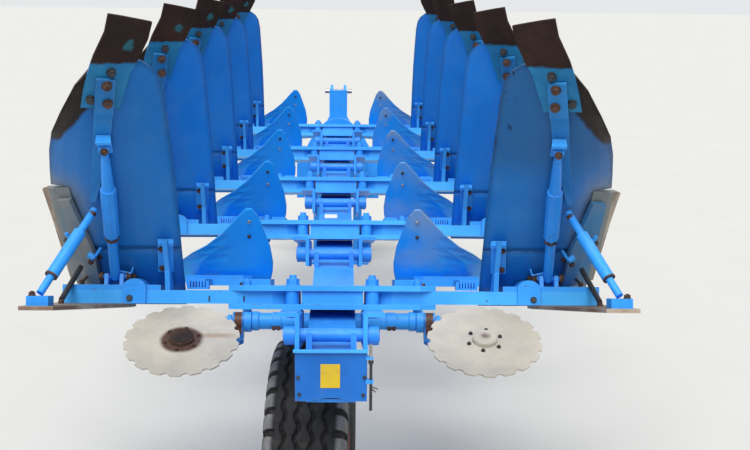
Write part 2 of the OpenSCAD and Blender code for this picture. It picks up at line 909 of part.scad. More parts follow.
module wheel_rim() {
    lip = rim_d / 2 - 12;
    well = lip - rim_wall + 2;
    edge = tyre_w / 2 - 27;
    color("firebrick")
        at_wheel()
            rotate([0, 90, 0])
                rotate_extrude($fn = 72)
                    polygon([
                        [axle_r + run_gap, -hub_half], [hub_r, -hub_half], [hub_r, 18],
                        [well, 40], [well, 8 - edge], [lip, -edge],
                        [lip, -tyre_w / 2 + 22], [rim_d / 2, -tyre_w / 2 + 18],
                        [rim_d / 2, tyre_w / 2 - 18], [lip, tyre_w / 2 - 22],
                        [lip, edge], [well + 7, edge - 8], [well + 7, 52], [hub_r, 32],
                        [hub_r, hub_half], [axle_r + run_gap, hub_half]]);
}
module tyre() {
    color(black)
        at_wheel()
            rotate([0, 90, 0])
                rotate_extrude($fn = 96)
                    polygon([
                        [rim_d / 2 + seat_gap, -tyre_w / 2 + 30], [rim_d / 2 + 30, -tyre_w / 2 + 8],
                        [rim_d / 2 + 90, -tyre_w / 2], [tyre_d / 2 - 70, -tyre_w / 2 + 2],
                        [tyre_d / 2 - 22, -tyre_w / 2 + 14], [tyre_d / 2 - 6, -tyre_w / 2 + 40],
                        [tyre_d / 2, 0],
                        [tyre_d / 2 - 6, tyre_w / 2 - 40], [tyre_d / 2 - 22, tyre_w / 2 - 14],
                        [tyre_d / 2 - 70, tyre_w / 2 - 2], [rim_d / 2 + 90, tyre_w / 2],
                        [rim_d / 2 + 30, tyre_w / 2 - 8], [rim_d / 2 + seat_gap, tyre_w / 2 - 30]]);
}

// Disc coulters on their swivelling arms
module at_disc_swivel() {
    translate([0, rear_row_y + stalk_y, stalk_z])
        rotate([disc_hang, 0, 0])
            children();
}
disc_pin_r = 15;
disc_arm_drop = 52;
disc_hub_h = 16;
module disc_arm() {
    x0 = stalk_end + seat_gap;
    hub_h = disc_arm_drop + disc_lift;
    color(blue)
        at_disc_swivel() {
            difference() {
                union() {
                    x_bar(34, x0, x0 + swivel_w);
                    side_plate([[20, -20], [-20, 20], [-60, -disc_arm_drop + 8],
                                [-60, -disc_arm_drop - 12], [-20, -disc_arm_drop - 12]],
                               x0, swivel_w);
                }
                x_bar(swivel_r + run_gap, x0 - 1, x0 + swivel_w + 1);
            }
            flat_plate([
                [x0, -60], [x0, -22], [x0 + swivel_w, -22], [disc_x + 18, -disc_trail + 20],
                [disc_x + 20, -disc_trail - 20], [disc_x - 20, -disc_trail - 20]],
                -disc_arm_drop - 12, 20);
            translate([disc_x, -disc_trail, -disc_arm_drop]) {
                cylinder(r = 26, h = hub_h - disc_t / 2 - seat_gap);
                cylinder(r = disc_pin_r, h = hub_h + disc_t / 2 + disc_hub_h - 2);
            }
        }
}
module disc_arm_right() {
    disc_arm();
}
module disc_arm_left() {
    mirror([1, 0, 0]) disc_arm();
}
module disc() {
    color(steel)
        at_disc_swivel()
            translate([disc_x, -disc_trail, disc_lift]) {
                linear_extrude(disc_t, center = true)
                    difference() {
                        circle(d = disc_d, $fn = 90);
                        circle(r = disc_pin_r + run_gap);
                        for (k = [0 : disc_notches - 1])
                            rotate(k * 360 / disc_notches)
                                translate([disc_d / 2 + 4, 0])
                                    circle(r = 17, $fn = 24);
                    }
                difference() {
                    translate([0, 0, disc_t / 2])
                        cylinder(r = 46, h = disc_hub_h);
                    cylinder(r = disc_pin_r + run_gap, h = 80);
                }
            }
}
module disc_right() {
    disc();
}
module disc_left() {
    mirror([1, 0, 0]) disc();
}

// Turn head: the shaft that carries the beam, its flange and the crank
flange_r = 140;
module turn_head() {
    color(blue)
        translate([0, 0, beam_mid_z]) {
            y_bar(flange_r, beam_front_y, beam_front_y + 30);
            y_bar(shaft_d / 2, beam_front_y + 30, stock_front_y + 8);
            translate([0, stock_front_y + 8, 0])
                rotate([-90, 0, 0])
                    linear_extrude(26)
                        hull() {
                            circle(d = 150);
                            translate([0, crank_r]) circle(d = 70);
                        }
        }
}

// Headstock: main plate, bearing housing, tower and hitch brackets
tower_in = 36;
tower_t = 20;
tower_w = tower_in + 26;
plate_w = 290;
link_ahead = 120;
bracket_in = 230;
bracket_w = 24;
bearing_l = 300;
hitch_axle_r = 30;
module headstock() {
    color(blue)
        translate([0, stock_rear_y, 0]) {
            difference() {
                union() {
                    rotate([-90, 0, 0])
                        linear_extrude(stock_t)
                            polygon([
                                [-plate_w, -hitch_z + 60], [plate_w, -hitch_z + 60],
                                [plate_w, -hitch_z - 180], [plate_w - 100, -beam_mid_z + 56],
                                [96, -beam_mid_z - 44], [tower_w, -beam_mid_z - 104],
                                [tower_w, -top_pin_z - 20], [-tower_w, -top_pin_z - 20],
                                [-tower_w, -beam_mid_z - 104], [-96, -beam_mid_z - 44],
                                [100 - plate_w, -beam_mid_z + 56], [-plate_w, -hitch_z - 180]]);
                    translate([0, 0, beam_mid_z])
                        y_bar(shaft_d / 2 + 32, -bearing_l, 0);
                }
                translate([0, 0, beam_mid_z])
                    y_bar(shaft_d / 2 + run_gap, -bearing_l - 1, stock_t + 1);
            }
            // Cheeks for the upper link
            for (s = [-1, 1])
                difference() {
                    side_plate([
                        [stock_t, top_pin_z - 110], [stock_t, top_pin_z + 20],
                        [stock_t + link_ahead - 20, top_pin_z + 45],
                        [stock_t + link_ahead + 45, top_pin_z + 40],
                        [stock_t + link_ahead + 45, top_pin_z - 45],
                        [stock_t + link_ahead / 2, top_pin_z - 110]],
                        s > 0 ? tower_in : -tower_in - tower_t, tower_t);
                    translate([0, stock_t + link_ahead, top_pin_z])
                        x_bar(top_pin_d / 2 + seat_gap, -200, 200);
                }
            // Brackets for the lower hitch axle
            for (s = [-1, 1])
                difference() {
                    side_plate([
                        [stock_t, hitch_z - 60], [stock_t + hitch_ahead + 45, hitch_z - 50],
                        [stock_t + hitch_ahead + 45, hitch_z + 45],
                        [stock_t + 60, beam_mid_z - 116], [stock_t, beam_mid_z - 116]],
                        s > 0 ? bracket_in : -bracket_in - bracket_w, bracket_w);
                    translate([0, stock_t + hitch_ahead, hitch_z])
                        x_bar(hitch_axle_r + seat_gap, -plate_w, plate_w);
                }
        }
}
module top_link_pin() {
    color(steel)
        translate([0, stock_front_y + link_ahead, top_pin_z])
            x_bar(top_pin_d / 2, -tower_in - tower_t - 39, tower_in + tower_t + 39);
}
module lower_axle() {
    color(steel)
        translate([0, hitch_y, hitch_z]) {
            x_bar(hitch_axle_r, -hitch_span / 2, hitch_span / 2);
            for (s = [-1, 1])
                x_bar(hitch_pin_d / 2,
                      s > 0 ? hitch_span / 2 : -hitch_span / 2 - hitch_pin_l,
                      s > 0 ? hitch_span / 2 + hitch_pin_l : -hitch_span / 2);
        }
}

// Parking stands beside the headstock
sleeve_wall = 7;
sleeve_ear = 22;
sleeve_z = hitch_z + 40;
sleeve_l = 150;
stand_y = stock_rear_y - stand_w / 2 - sleeve_wall;
stand_pin_z = sleeve_z + 80;
stand_pin_r = 9;
stand_foot_t = 12;
module stand_sleeves() {
    gap = 1;
    color(blue)
        for (s = [-1, 1])
            difference() {
                translate([s * stand_x - stand_w / 2 - sleeve_ear,
                           stand_y - stand_w / 2 - sleeve_wall, sleeve_z])
                    cube([stand_w + 2 * sleeve_ear, stand_w + 2 * sleeve_wall, sleeve_l]);
                translate([s * stand_x - stand_w / 2 - gap / 2, stand_y - stand_w / 2 - gap / 2,
                           sleeve_z - 1])
                    cube([stand_w + gap, stand_w + gap, sleeve_l + 2]);
                translate([0, stand_y, stand_pin_z])
                    x_bar(stand_pin_r + bolt_gap, s * stand_x - 100, s * stand_x + 100);
            }
}
module parking_stands() {
    color(steel)
        for (s = [-1, 1])
            translate([s * stand_x, stand_y, 0]) {
                translate([-stand_w / 2, -stand_w / 2, stand_foot_t])
                    cube([stand_w, stand_w, sleeve_z + sleeve_l + 50]);
                translate([-stand_w / 2 - 50, -stand_w / 2 - 50, 0])
                    cube([stand_w + 100, stand_w + 100, stand_foot_t]);
                translate([0, 0, stand_pin_z])
                    x_bar(stand_pin_r, -stand_w / 2 - 38, stand_w / 2 + 38);
            }
}

// Turnover cylinder below the shaft
foot_z = beam_mid_z - foot_drop;
cyl_y = stock_front_y + 8 + 26 + 40;
barrel_top = 230;
module cylinder_barrel() {
    color(black)
        translate([0, cyl_y, foot_z])
            difference() {
                union() {
                    translate([0, 0, 20])
                        cylinder(r = 35, h = barrel_top - 20);
                    y_bar(32, -28, 28);
                }
                y_bar(15 + run_gap, -60, 60);
                translate([0, 0, 60])
                    cylinder(r = 17.5 + run_gap, h = barrel_top);
            }
}
module cylinder_rod() {
    color(steel)
        translate([0, cyl_y, foot_z]) {
            translate([0, 0, 80])
                cylinder(r = 17.5, h = foot_drop - crank_r - 80 - 20);
            translate([0, 0, foot_drop - crank_r]) {
                y_bar(28, -30, 30);
                y_bar(14, -39, 40);
            }
        }
}
module cylinder_pin() {
    color(steel)
        translate([0, 0, foot_z])
            y_bar(15, stock_front_y, cyl_y + 45);
}

main_beam();
rear_plate();
leg_holders();
holder_bolts();
legs();
channels();
cross_tubes();
frogs();
share_rails();
board_brackets();
stays();
stay_heads();
straps();
heel_struts();
skimmer_stems();
wheel_arm_pin();
shins();
mouldboards();
tail_extensions();
shares();
points();
landsides();
skimmers();
disc_stalk();
wheel_hanger();
wheel_arm();
wheel_axle();
wheel_rim();
tyre();
disc_arm_right();
disc_arm_left();
disc_right();
disc_left();
turn_head();
headstock();
top_link_pin();
lower_axle();
stand_sleeves();
parking_stands();
cylinder_barrel();
cylinder_rod();
cylinder_pin();
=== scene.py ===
"""Looks of the mounted reversible plough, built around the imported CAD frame."""
import json
import math
import random

import bmesh
import bpy
from mathutils import Matrix, Vector


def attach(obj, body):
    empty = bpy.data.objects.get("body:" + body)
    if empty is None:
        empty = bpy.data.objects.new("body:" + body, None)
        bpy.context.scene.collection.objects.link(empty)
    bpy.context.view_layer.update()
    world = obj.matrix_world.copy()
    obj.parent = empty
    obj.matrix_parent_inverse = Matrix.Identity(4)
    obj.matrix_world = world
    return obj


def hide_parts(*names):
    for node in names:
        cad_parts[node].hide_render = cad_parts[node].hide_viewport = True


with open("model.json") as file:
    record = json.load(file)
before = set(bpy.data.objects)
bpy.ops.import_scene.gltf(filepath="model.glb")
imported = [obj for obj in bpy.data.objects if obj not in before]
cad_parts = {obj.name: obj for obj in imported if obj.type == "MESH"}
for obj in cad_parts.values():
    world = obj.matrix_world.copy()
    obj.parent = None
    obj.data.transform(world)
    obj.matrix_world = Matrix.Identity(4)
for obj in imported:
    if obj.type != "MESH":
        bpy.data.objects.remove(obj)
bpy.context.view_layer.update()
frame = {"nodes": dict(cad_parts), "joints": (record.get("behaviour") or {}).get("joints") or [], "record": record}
scene = bpy.context.scene
rng = random.Random(7)

# Sizes that repeat the part's source, in metres and radians
ROW0, PITCH, ROWS = -2.354, 1.0, 5
LEG_Z, BODY_ANGLE = 1.060, math.radians(14)
BEAM_TOP = LEG_Z - 0.054
BEAM_REAR = ROW0 - 0.405
REAR_PLATE_T = 0.015
REAR_FACE = BEAM_REAR - REAR_PLATE_T
SOLE_X, POINT_V, CURVE_R, BOARD_H = 0.850, 0.345, 0.380, 0.370
SHARE_ANGLE, FOOT_ANGLE = math.radians(40), math.radians(35)
DISC_LIFT, DISC_HANG = 0.045, math.radians(20)
DISC_AXIS = Vector((0.0, -math.sin(DISC_HANG), math.cos(DISC_HANG)))
STALK_Y, STALK_Z = ROW0 + 0.935, 0.713
WHEEL_X, WHEEL_Y, WHEEL_Z = -0.068, ROW0 + 0.230, 0.4225
WHEEL_YAW = math.radians(-3)
TYRE_R, RIM_R = 0.4225, 0.1955
TREAD_BLOCKS = 36

# Angle between the board and the direction of travel, in degrees: at the share, and how much
# it grows up to the board's upper edge
LINE_ANGLE, LINE_TWIST = 38, 9

# A row's pieces reach less than this behind its cross tube
ROW_BACK = 0.6

# Right and left, as the sign of x
SIDES = (1, -1)

CAMERA_AT = (0.025, ROW0 - 3.672, LEG_Z + 0.9865)
CAMERA_YAW, CAMERA_PITCH, CAMERA_ROLL = (math.radians(a) for a in (1.61, -11.66, 0.7))
CAMERA_LENS, SENSOR_W = 59.1, 36.0

SUN_DIRECTION = (0.10, 0.56, -0.82)
SUN_ENERGY, SUN_ANGLE = 3.5, math.radians(50)
SKY_STRENGTH, SEEN_STRENGTH = 0.48, 0.92
FLOOR_SIZE = 60.0


def make_camera():
    data = bpy.data.cameras.new("camera")
    data.lens = CAMERA_LENS
    data.sensor_width = SENSOR_W
    data.clip_start = 0.05
    data.clip_end = 200.0
    camera = bpy.data.objects.new("camera", data)
    scene.collection.objects.link(camera)
    flat = math.cos(CAMERA_PITCH)
    ahead = Vector((math.sin(CAMERA_YAW) * flat, math.cos(CAMERA_YAW) * flat,
                    math.sin(CAMERA_PITCH)))
    level = Vector((math.cos(CAMERA_YAW), -math.sin(CAMERA_YAW), 0.0))
    right = level * math.cos(CAMERA_ROLL) + level.cross(ahead) * math.sin(CAMERA_ROLL)
    turn = Matrix((right, right.cross(ahead), -ahead)).transposed().to_4x4()
    turn.translation = Vector(CAMERA_AT)
    camera.matrix_world = turn
    scene.camera = camera


def make_sun():
    """One wide, soft sun from above and behind the camera."""
    data = bpy.data.lights.new("sky_light", "SUN")
    data.energy = SUN_ENERGY
    data.angle = SUN_ANGLE
    data.color = (1.0, 0.985, 0.96)
    lamp = bpy.data.objects.new("sky_light", data)
    scene.collection.objects.link(lamp)
    lamp.rotation_euler = Vector(SUN_DIRECTION).to_track_quat("-Z", "Y").to_euler()


def add_background(tree, colour, strength):
    node = tree.nodes.new("ShaderNodeBackground")
    node.inputs["Color"].default_value = (*colour, 1)
    node.inputs["Strength"].default_value = strength
    return node.outputs[0]


def make_world():
    """Soft sky light, with a paler backdrop for what the camera and the gloss see."""
    world = bpy.data.worlds.new("studio")
    scene.world = world
    world.use_nodes = True
    tree = world.node_tree
    tree.nodes.clear()
    ray = tree.nodes.new("ShaderNodeLightPath")
    seen = ray.outputs["Is Camera Ray"]
    for kind in ("Is Glossy Ray", "Is Transmission Ray"):
        either = tree.nodes.new("ShaderNodeMath")
        either.operation = "MAXIMUM"
        tree.links.new(seen, either.inputs[0])
        tree.links.new(ray.outputs[kind], either.inputs[1])
        seen = either.outputs[0]
    mix = tree.nodes.new("ShaderNodeMixShader")
    tree.links.new(seen, mix.inputs["Fac"])
    tree.links.new(add_background(tree, (0.90, 0.95, 1.0), SKY_STRENGTH), mix.inputs[1])
    tree.links.new(add_background(tree, (0.86, 0.88, 0.90), SEEN_STRENGTH), mix.inputs[2])
    out = tree.nodes.new("ShaderNodeOutputWorld")
    tree.links.new(mix.outputs[0], out.inputs["Surface"])


class Mat:
    """Builds a node material around one Principled shader."""

    def __init__(self, name):
        self.material = bpy.data.materials.new(name)
        self.material.use_nodes = True
        self.tree = self.material.node_tree
        self.tree.nodes.clear()
        self.shader = self.node("ShaderNodeBsdfPrincipled")
        out = self.node("ShaderNodeOutputMaterial")
        self.put(out.inputs["Surface"], self.shader.outputs[0])
        self.coordinates = self.node("ShaderNodeTexCoord")
        self.place = self.coordinates.outputs["Object"]

    def node(self, kind, **properties):
        node = self.tree.nodes.new(kind)
        for key, value in properties.items():
            setattr(node, key, value)
        return node

    def put(self, socket, value):
        """Link a socket to another one, or set its value."""
        if isinstance(value, bpy.types.NodeSocket):
            self.tree.links.new(value, socket)
        elif socket.type == "RGBA":
            socket.default_value = (*value, 1)
        else:
            socket.default_value = value

    def set(self, **values):
        """Set inputs of the shader by name, with _ for each space."""
        for key, value in values.items():
            self.put(self.shader.inputs[key.replace("_", " ")], value)

    def math(self, operation, a, b=0.0):
        node = self.node("ShaderNodeMath", operation=operation)
        self.put(node.inputs[0], a)
        self.put(node.inputs[1], b)
        return node.outputs[0]

    def plus(self, a, b):
        return self.math("ADD", a, b)

    def minus(self, a, b):
        return self.math("SUBTRACT", a, b)

    def times(self, first, *rest):
        for factor in rest:
            first = self.math("MULTIPLY", first, factor)
        return first

    def larger(self, a, b):
        return self.math("MAXIMUM", a, b)

    def size(self, a):
        return self.math("ABSOLUTE", a)

    def inverse(self, a):
        return self.math("SUBTRACT", 1.0, a)

    def noise(self, scale, detail, rough, stretch=None):
        node = self.node("ShaderNodeTexNoise")
        place = self.place
        if stretch:
            mapping = self.node("ShaderNodeMapping")
            self.put(mapping.inputs["Scale"], stretch)
            self.put(mapping.inputs["Vector"], place)
            place = mapping.outputs[0]
        self.put(node.inputs["Vector"], place)
        self.put(node.inputs["Scale"], scale)
        self.put(node.inputs["Detail"], detail)
        self.put(node.inputs["Roughness"], rough)
        return node.outputs["Fac"]

    def step(self, value, low, high):
        """Smooth step from 0 at low to 1 at high."""
        node = self.node("ShaderNodeMapRange", interpolation_type="SMOOTHSTEP")
        self.put(node.inputs["Value"], value)
        self.put(node.inputs["From Min"], low)
        self.put(node.inputs["From Max"], high)
        return node.outputs[0]

    def mix(self, share, a, b):
        """Colour a where share is 0, and b where it is 1."""
        node = self.node("ShaderNodeMix", data_type="RGBA")
        self.put(node.inputs[0], share)
        self.put(node.inputs[6], a)
        self.put(node.inputs[7], b)
        return node.outputs[2]

    def blend(self, share, a, b):
        """Number a where share is 0, and b where it is 1."""
        node = self.node("ShaderNodeMix", data_type="FLOAT")
        self.put(node.inputs[0], share)
        self.put(node.inputs[2], a)
        self.put(node.inputs[3], b)
        return node.outputs[0]

    def axes(self):
        node = self.node("ShaderNodeSeparateXYZ")
        self.put(node.inputs[0], self.place)
        return tuple(node.outputs)

    def facing(self, axis, low, high):
        """Smooth step on how much a surface faces up an axis."""
        node = self.node("ShaderNodeSeparateXYZ")
        self.put(node.inputs[0], self.coordinates.outputs["Normal"])
        return self.step(node.outputs["XYZ".index(axis)], low, high)

    def along_row(self, y):
        """How far a place lies ahead of its row's cross tube."""
        shifted = self.plus(self.minus(y, ROW0), ROW_BACK)
        return self.minus(self.math("FLOORED_MODULO", shifted, PITCH), ROW_BACK)

    def edge(self, radius):
        """1 near sharp edges, from the difference of the rounded and the true normal."""
        rounded = self.node("ShaderNodeBevel", samples=4)
        self.put(rounded.inputs["Radius"], radius)
        true = self.node("ShaderNodeNewGeometry")
        dot = self.node("ShaderNodeVectorMath", operation="DOT_PRODUCT")
        self.put(dot.inputs[0], rounded.outputs[0])
        self.put(dot.inputs[1], true.outputs["Normal"])
        return self.step(self.inverse(dot.outputs["Value"]), 0.02, 0.16)

    def bump(self, height, strength, distance, soften=0.0):
        """Relief; soften is the radius that rounds off the facets below it."""
        node = self.node("ShaderNodeBump")
        if soften:
            rounded = self.node("ShaderNodeBevel", samples=8)
            self.put(rounded.inputs["Radius"], soften)
            self.put(node.inputs["Normal"], rounded.outputs[0])
        self.put(node.inputs["Strength"], strength)
        self.put(node.inputs["Distance"], distance)
        self.put(node.inputs["Height"], height)
        self.set(Normal=node.outputs[0])


RUST = (0.085, 0.036, 0.022)
DARK_RUST = (0.020, 0.013, 0.011)
DUST = (0.40, 0.38, 0.33)
BOARD_FILM = (0.16, 0.30, 0.42)

# Bounds of smooth steps: across x for the right-hand side, along y between the rearmost pair
# of bodies and the rows ahead of it, and up y for surfaces that face ahead
RIGHT_HAND = (0.0, 0.05)
AHEAD_OF_REAR = (ROW0 + 0.42, ROW0 + 0.62)
FACES_AHEAD = (0.05, 0.25)


def blue_paint(name, base=(0.020, 0.290, 0.90), dust_and_top_light=0.30, wear=0.56, faded=0.0, rusty=None):
    """Dusty blue paint, chipped at its edges, with a painted highlight along them and painted light that makes its
    tops lighter.

    faded is the strength of its bleached patches, and rusty the reach in x of a rusty band.
    """
    m = Mat(name)
    big = m.noise(2.2, 5, 0.6)
    fine = m.noise(38, 5, 0.65)
    deep = tuple(c * 0.82 for c in base)
    bright = (base[0] * 1.6 + 0.004, base[1] * 1.20, min(0.93, base[2] * 1.08))
    colour = m.mix(m.step(big, 0.32, 0.72), deep, bright)
    # Painted light: surfaces that face up turn a lighter cyan blue, speckled by the fine noise
    film = m.times(m.facing("Z", 0.1, 0.9), dust_and_top_light, m.blend(m.step(fine, 0.35, 0.7), 0.45, 1.25))
    colour = m.mix(film, colour, (0.10, 0.46, 0.90))
    streak = m.step(m.noise(9, 6, 0.7, stretch=(1.0, 1.0, 0.35)), 0.56, 0.78)
    colour = m.mix(m.times(streak, 0.10), colour, DUST)
    if faded:
        patch = m.step(m.noise(7, 5, 0.65, stretch=(1.0, 1.0, 0.45)), 0.56, 0.70)
        colour = m.mix(m.times(patch, faded), colour, (0.26, 0.44, 0.60))
        rusty_run = m.step(m.noise(16, 6, 0.7, stretch=(1.0, 1.0, 0.30)), 0.64, 0.70)
        colour = m.mix(m.times(rusty_run, faded), colour, (0.16, 0.085, 0.050))
    edge = m.edge(0.005)
    worn = m.times(edge, m.step(m.noise(26, 6, 0.7), wear, wear + 0.10))
    spot = m.times(m.step(m.noise(55, 3, 0.6), 0.70, 0.735), 0.9)
    chip = m.larger(worn, spot)
    grain = m.step(fine, 0.4, 0.6)
    colour = m.mix(chip, colour, m.mix(grain, RUST, (0.05, 0.035, 0.032)))
    # Painted highlight: a lighter blue along every sharp edge
    colour = m.mix(m.times(edge, 0.16), colour, (0.22, 0.56, 0.92))
    if rusty:
        inner, outer = rusty
        x, _, z = m.axes()
        reach = m.size(x)
        band = m.times(m.step(reach, inner, inner + 0.002),
                       m.inverse(m.step(reach, outer - 0.002, outer)),
                       m.step(z, STALK_Z - 0.048, STALK_Z - 0.040))
        colour = m.mix(band, colour, m.mix(grain, (0.050, 0.022, 0.014), (0.11, 0.045, 0.026)))
    m.set(Base_Color=colour, Specular_IOR_Level=0.28)
    m.set(Roughness=m.blend(chip, m.blend(m.step(big, 0.3, 0.7), 0.36, 0.50), 0.85))
    m.bump(m.minus(m.times(fine, 0.35), chip), 0.25, 0.0012)
    return m.material


def board_noises(m):
    """Coarse, middle and fine noise of the boards and the skimmers."""
    return (m.noise(2.6, 5, 0.6), m.noise(11, 6, 0.65, stretch=(1.0, 1.0, 0.5)),
            m.noise(70, 5, 0.7))


def finish_board(m, colour, mid, fine, front, soften):
    """Worn edges, rust spots, and fronts that the soil has rubbed bare."""
    worn = m.times(m.edge(0.004), m.step(m.noise(22, 6, 0.7), 0.46, 0.62))
    colour = m.mix(m.times(worn, 0.75), colour, (0.30, 0.29, 0.27))
    spot = m.step(m.noise(48, 3, 0.6), 0.71, 0.74)
    colour = m.mix(m.times(spot, 0.8), colour, RUST)
    bare = m.mix(m.step(mid, 0.40, 0.66), (0.27, 0.24, 0.21), (0.12, 0.070, 0.046))
    m.set(Base_Color=m.mix(front, colour, bare), Metallic=m.times(front, 0.75))
    m.set(Roughness=m.blend(m.step(mid, 0.35, 0.7), 0.38, 0.58), Specular_IOR_Level=0.22)
    m.bump(m.plus(m.times(mid, 0.5), m.times(fine, 0.2)), 0.18, 0.002, soften)
    return m.material


def skim_paint(name):
    """Bright blue skimmers, the right-hand ones dustier."""
    m = Mat(name)
    x, _, z = m.axes()
    big, mid, fine = board_noises(m)
    colour = m.mix(m.step(big, 0.30, 0.72), (0.006, 0.290, 0.88), (0.010, 0.340, 0.93))
    colour = m.mix(m.times(m.step(mid, 0.46, 0.74), 0.10), colour, BOARD_FILM)
    dusty = m.times(m.step(x, *RIGHT_HAND), m.step(m.noise(4.2, 5, 0.6), 0.40, 0.62),
                    m.blend(m.step(z, 1.18, 1.32), 0.35, 0.80))
    colour = m.mix(dusty, colour, (0.30, 0.36, 0.40))
    front = m.times(m.facing("Y", *FACES_AHEAD), m.step(m.noise(6, 5, 0.6), 0.38, 0.50))
    return finish_board(m, colour, mid, fine, front, soften=0.010)


def board_paint(name):
    """Blue boards: dusty backs with a rusty zone at the outer edge, the rearmost pair dull."""
    m = Mat(name)
    x, y, z = m.axes()
    reach = m.size(x)
    big, mid, fine = board_noises(m)
    tone = m.step(big, 0.30, 0.72)
    grain = m.step(fine, 0.4, 0.7)
    ahead = m.step(y, *AHEAD_OF_REAR)
    colour = m.mix(ahead, m.mix(tone, (0.006, 0.125, 0.42), (0.009, 0.160, 0.50)),
                   m.mix(tone, (0.007, 0.185, 0.68), (0.011, 0.230, 0.78)))
    colour = m.mix(m.times(m.step(mid, 0.46, 0.74), 0.12), colour, BOARD_FILM)
    # Grey dirt low at the outer edge
    low = m.inverse(m.step(m.plus(z, m.times(mid, 0.10)), 1.43, 1.56))
    outer = m.step(m.plus(reach, m.times(mid, 0.06)), 0.715, 0.820)
    dirt = m.mix(grain, (0.150, 0.185, 0.205), (0.20, 0.215, 0.21))
    colour = m.mix(m.times(low, outer, 0.88), colour, dirt)
    # The rearmost right board is dull higher up, with a band of dark scratches
    dull = m.times(m.step(x, *RIGHT_HAND), m.step(z, 1.42, 1.56), m.inverse(ahead))
    colour = m.mix(m.times(dull, 0.50), colour, (0.022, 0.070, 0.135))
    band = m.inverse(m.step(m.size(m.minus(x, 0.475)), 0.012, 0.050))
    scratch = m.step(m.noise(24, 5, 0.65, stretch=(1.5, 1.0, 0.22)), 0.585, 0.615)
    scratch = m.times(scratch, m.times(band, dull))
    colour = m.mix(m.times(scratch, 0.85), colour, (0.008, 0.024, 0.045))
    # Rust where the tail's outer edge rubs
    ragged = m.times(m.minus(mid, 0.5), 0.035)
    corner = m.plus(m.plus(m.times(reach, 0.97), z), ragged)
    rubbed = m.times(m.step(corner, 2.303, 2.320), m.step(m.plus(z, ragged), 1.566, 1.582),
                     m.step(reach, 0.605, 0.615))
    colour = m.mix(rubbed, colour, m.mix(grain, (0.010, 0.006, 0.005), (0.020, 0.011, 0.009)))
    # Dark seam between the shin and the mouldboard, where a body's throw is 151 mm
    throw = m.plus(m.times(m.along_row(y), math.sin(BODY_ANGLE)),
                   m.times(m.minus(z, LEG_Z), math.cos(BODY_ANGLE)))
    seam = m.inverse(m.step(m.size(m.minus(throw, 0.151)), 0.0012, 0.0050))
    colour = m.mix(m.times(seam, 0.45), colour, (0.006, 0.040, 0.110))
    return finish_board(m, colour, mid, fine, m.facing("Y", *FACES_AHEAD), soften=0.035)


def tail_paint(name):
    """Rusty tail extensions whose lower part, on the board's back, is painted."""
    m = Mat(name)
    x, y, z = m.axes()
    big = m.noise(7, 6, 0.65)
    fine = m.noise(60, 6, 0.7)
    ragged = m.minus(fine, 0.5)
    rust = m.mix(m.step(big, 0.40, 0.70), (0.021, 0.012, 0.010), (0.042, 0.020, 0.015))
    rust = m.mix(m.times(m.step(fine, 0.60, 0.75), 0.35), rust, (0.085, 0.055, 0.042))
    paint = m.mix(m.step(big, 0.35, 0.7), (0.012, 0.150, 0.36), (0.020, 0.200, 0.40))
    chip = m.times(m.edge(0.004), m.step(m.noise(22, 6, 0.7), 0.46, 0.62))
    bare = m.larger(m.step(m.plus(z, m.times(ragged, 0.020)), 1.797, 1.806), m.times(chip, 0.8))
    # Spot of paint that is left on the left-hand tails
    far = m.times(ragged, 0.030)
    for value, spot in ((x, -0.527), (m.along_row(y), -0.430), (z, 1.846)):
        far = m.plus(far, m.times(m.size(m.minus(value, spot)), 0.7))
    left_over = m.inverse(m.step(far, 0.010, 0.022))
    rust = m.mix(m.times(left_over, 0.85), rust, (0.020, 0.130, 0.165))
    m.set(Base_Color=m.mix(bare, paint, rust))
    m.set(Roughness=m.blend(bare, 0.45, 0.78), Specular_IOR_Level=0.18)
    m.bump(m.times(fine, m.blend(bare, 0.15, 1.0)), 0.35, 0.0014)
    return m.material


def rail_paint(name):
    """Share rails under dry soil, with the blue showing through, most on the right."""
    m = Mat(name)
    mid = m.noise(9, 6, 0.65)
    fine = m.noise(70, 5, 0.7)
    colour = m.mix(m.step(mid, 0.36, 0.66), (0.115, 0.175, 0.235), (0.205, 0.215, 0.21))
    colour = m.mix(m.times(m.step(fine, 0.55, 0.75), 0.4), colour, (0.27, 0.25, 0.21))
    blue = m.times(m.step(m.axes()[0], *RIGHT_HAND),
                   m.blend(m.step(mid, 0.40, 0.62), 0.92, 0.60))
    m.set(Base_Color=m.mix(blue, colour, (0.014, 0.165, 0.380)))
    m.set(Roughness=m.blend(fine, 0.6, 0.85))
    m.bump(fine, 0.25, 0.0012)
    return m.material


def share_steel(name):
    """Shares: bare at the cutting edge, grey with dry soil where the board begins."""
    m = Mat(name)
    big = m.noise(6, 6, 0.65)
    fine = m.noise(70, 5, 0.7)
    soil = m.mix(m.step(fine, 0.35, 0.7), (0.125, 0.160, 0.185), (0.200, 0.215, 0.215))
    steel = m.mix(m.step(big, 0.36, 0.64), (0.46, 0.40, 0.32), (0.20, 0.135, 0.095))
    reach = m.plus(m.size(m.axes()[0]), m.times(m.minus(big, 0.5), 0.020))
    bare = m.larger(m.step(reach, 0.850, 0.862), m.facing("Y", *FACES_AHEAD))
    m.set(Base_Color=m.mix(bare, soil, steel), Metallic=m.times(bare, 0.4))
    m.set(Roughness=m.blend(fine, 0.5, 0.8), Specular_IOR_Level=0.3)
    m.bump(fine, 0.25, 0.001)
    return m.material


def rusty_steel(name):
    m = Mat(name)
    big = m.noise(7, 6, 0.65)
    fine = m.noise(60, 6, 0.7)
    colour = m.mix(m.step(big, 0.40, 0.70), DARK_RUST, (0.075, 0.034, 0.022))
    colour = m.mix(m.times(m.step(fine, 0.58, 0.75), 0.5), colour, (0.16, 0.11, 0.085))
    m.set(Base_Color=colour, Metallic=0.25)
    m.set(Roughness=m.blend(fine, 0.62, 0.88))
    m.bump(fine, 0.4, 0.0014)
    return m.material


def steel_noises(m):
    """Coarse and fine noise of the worn steel and the discs."""
    return m.noise(5, 6, 0.65), m.noise(80, 5, 0.7)


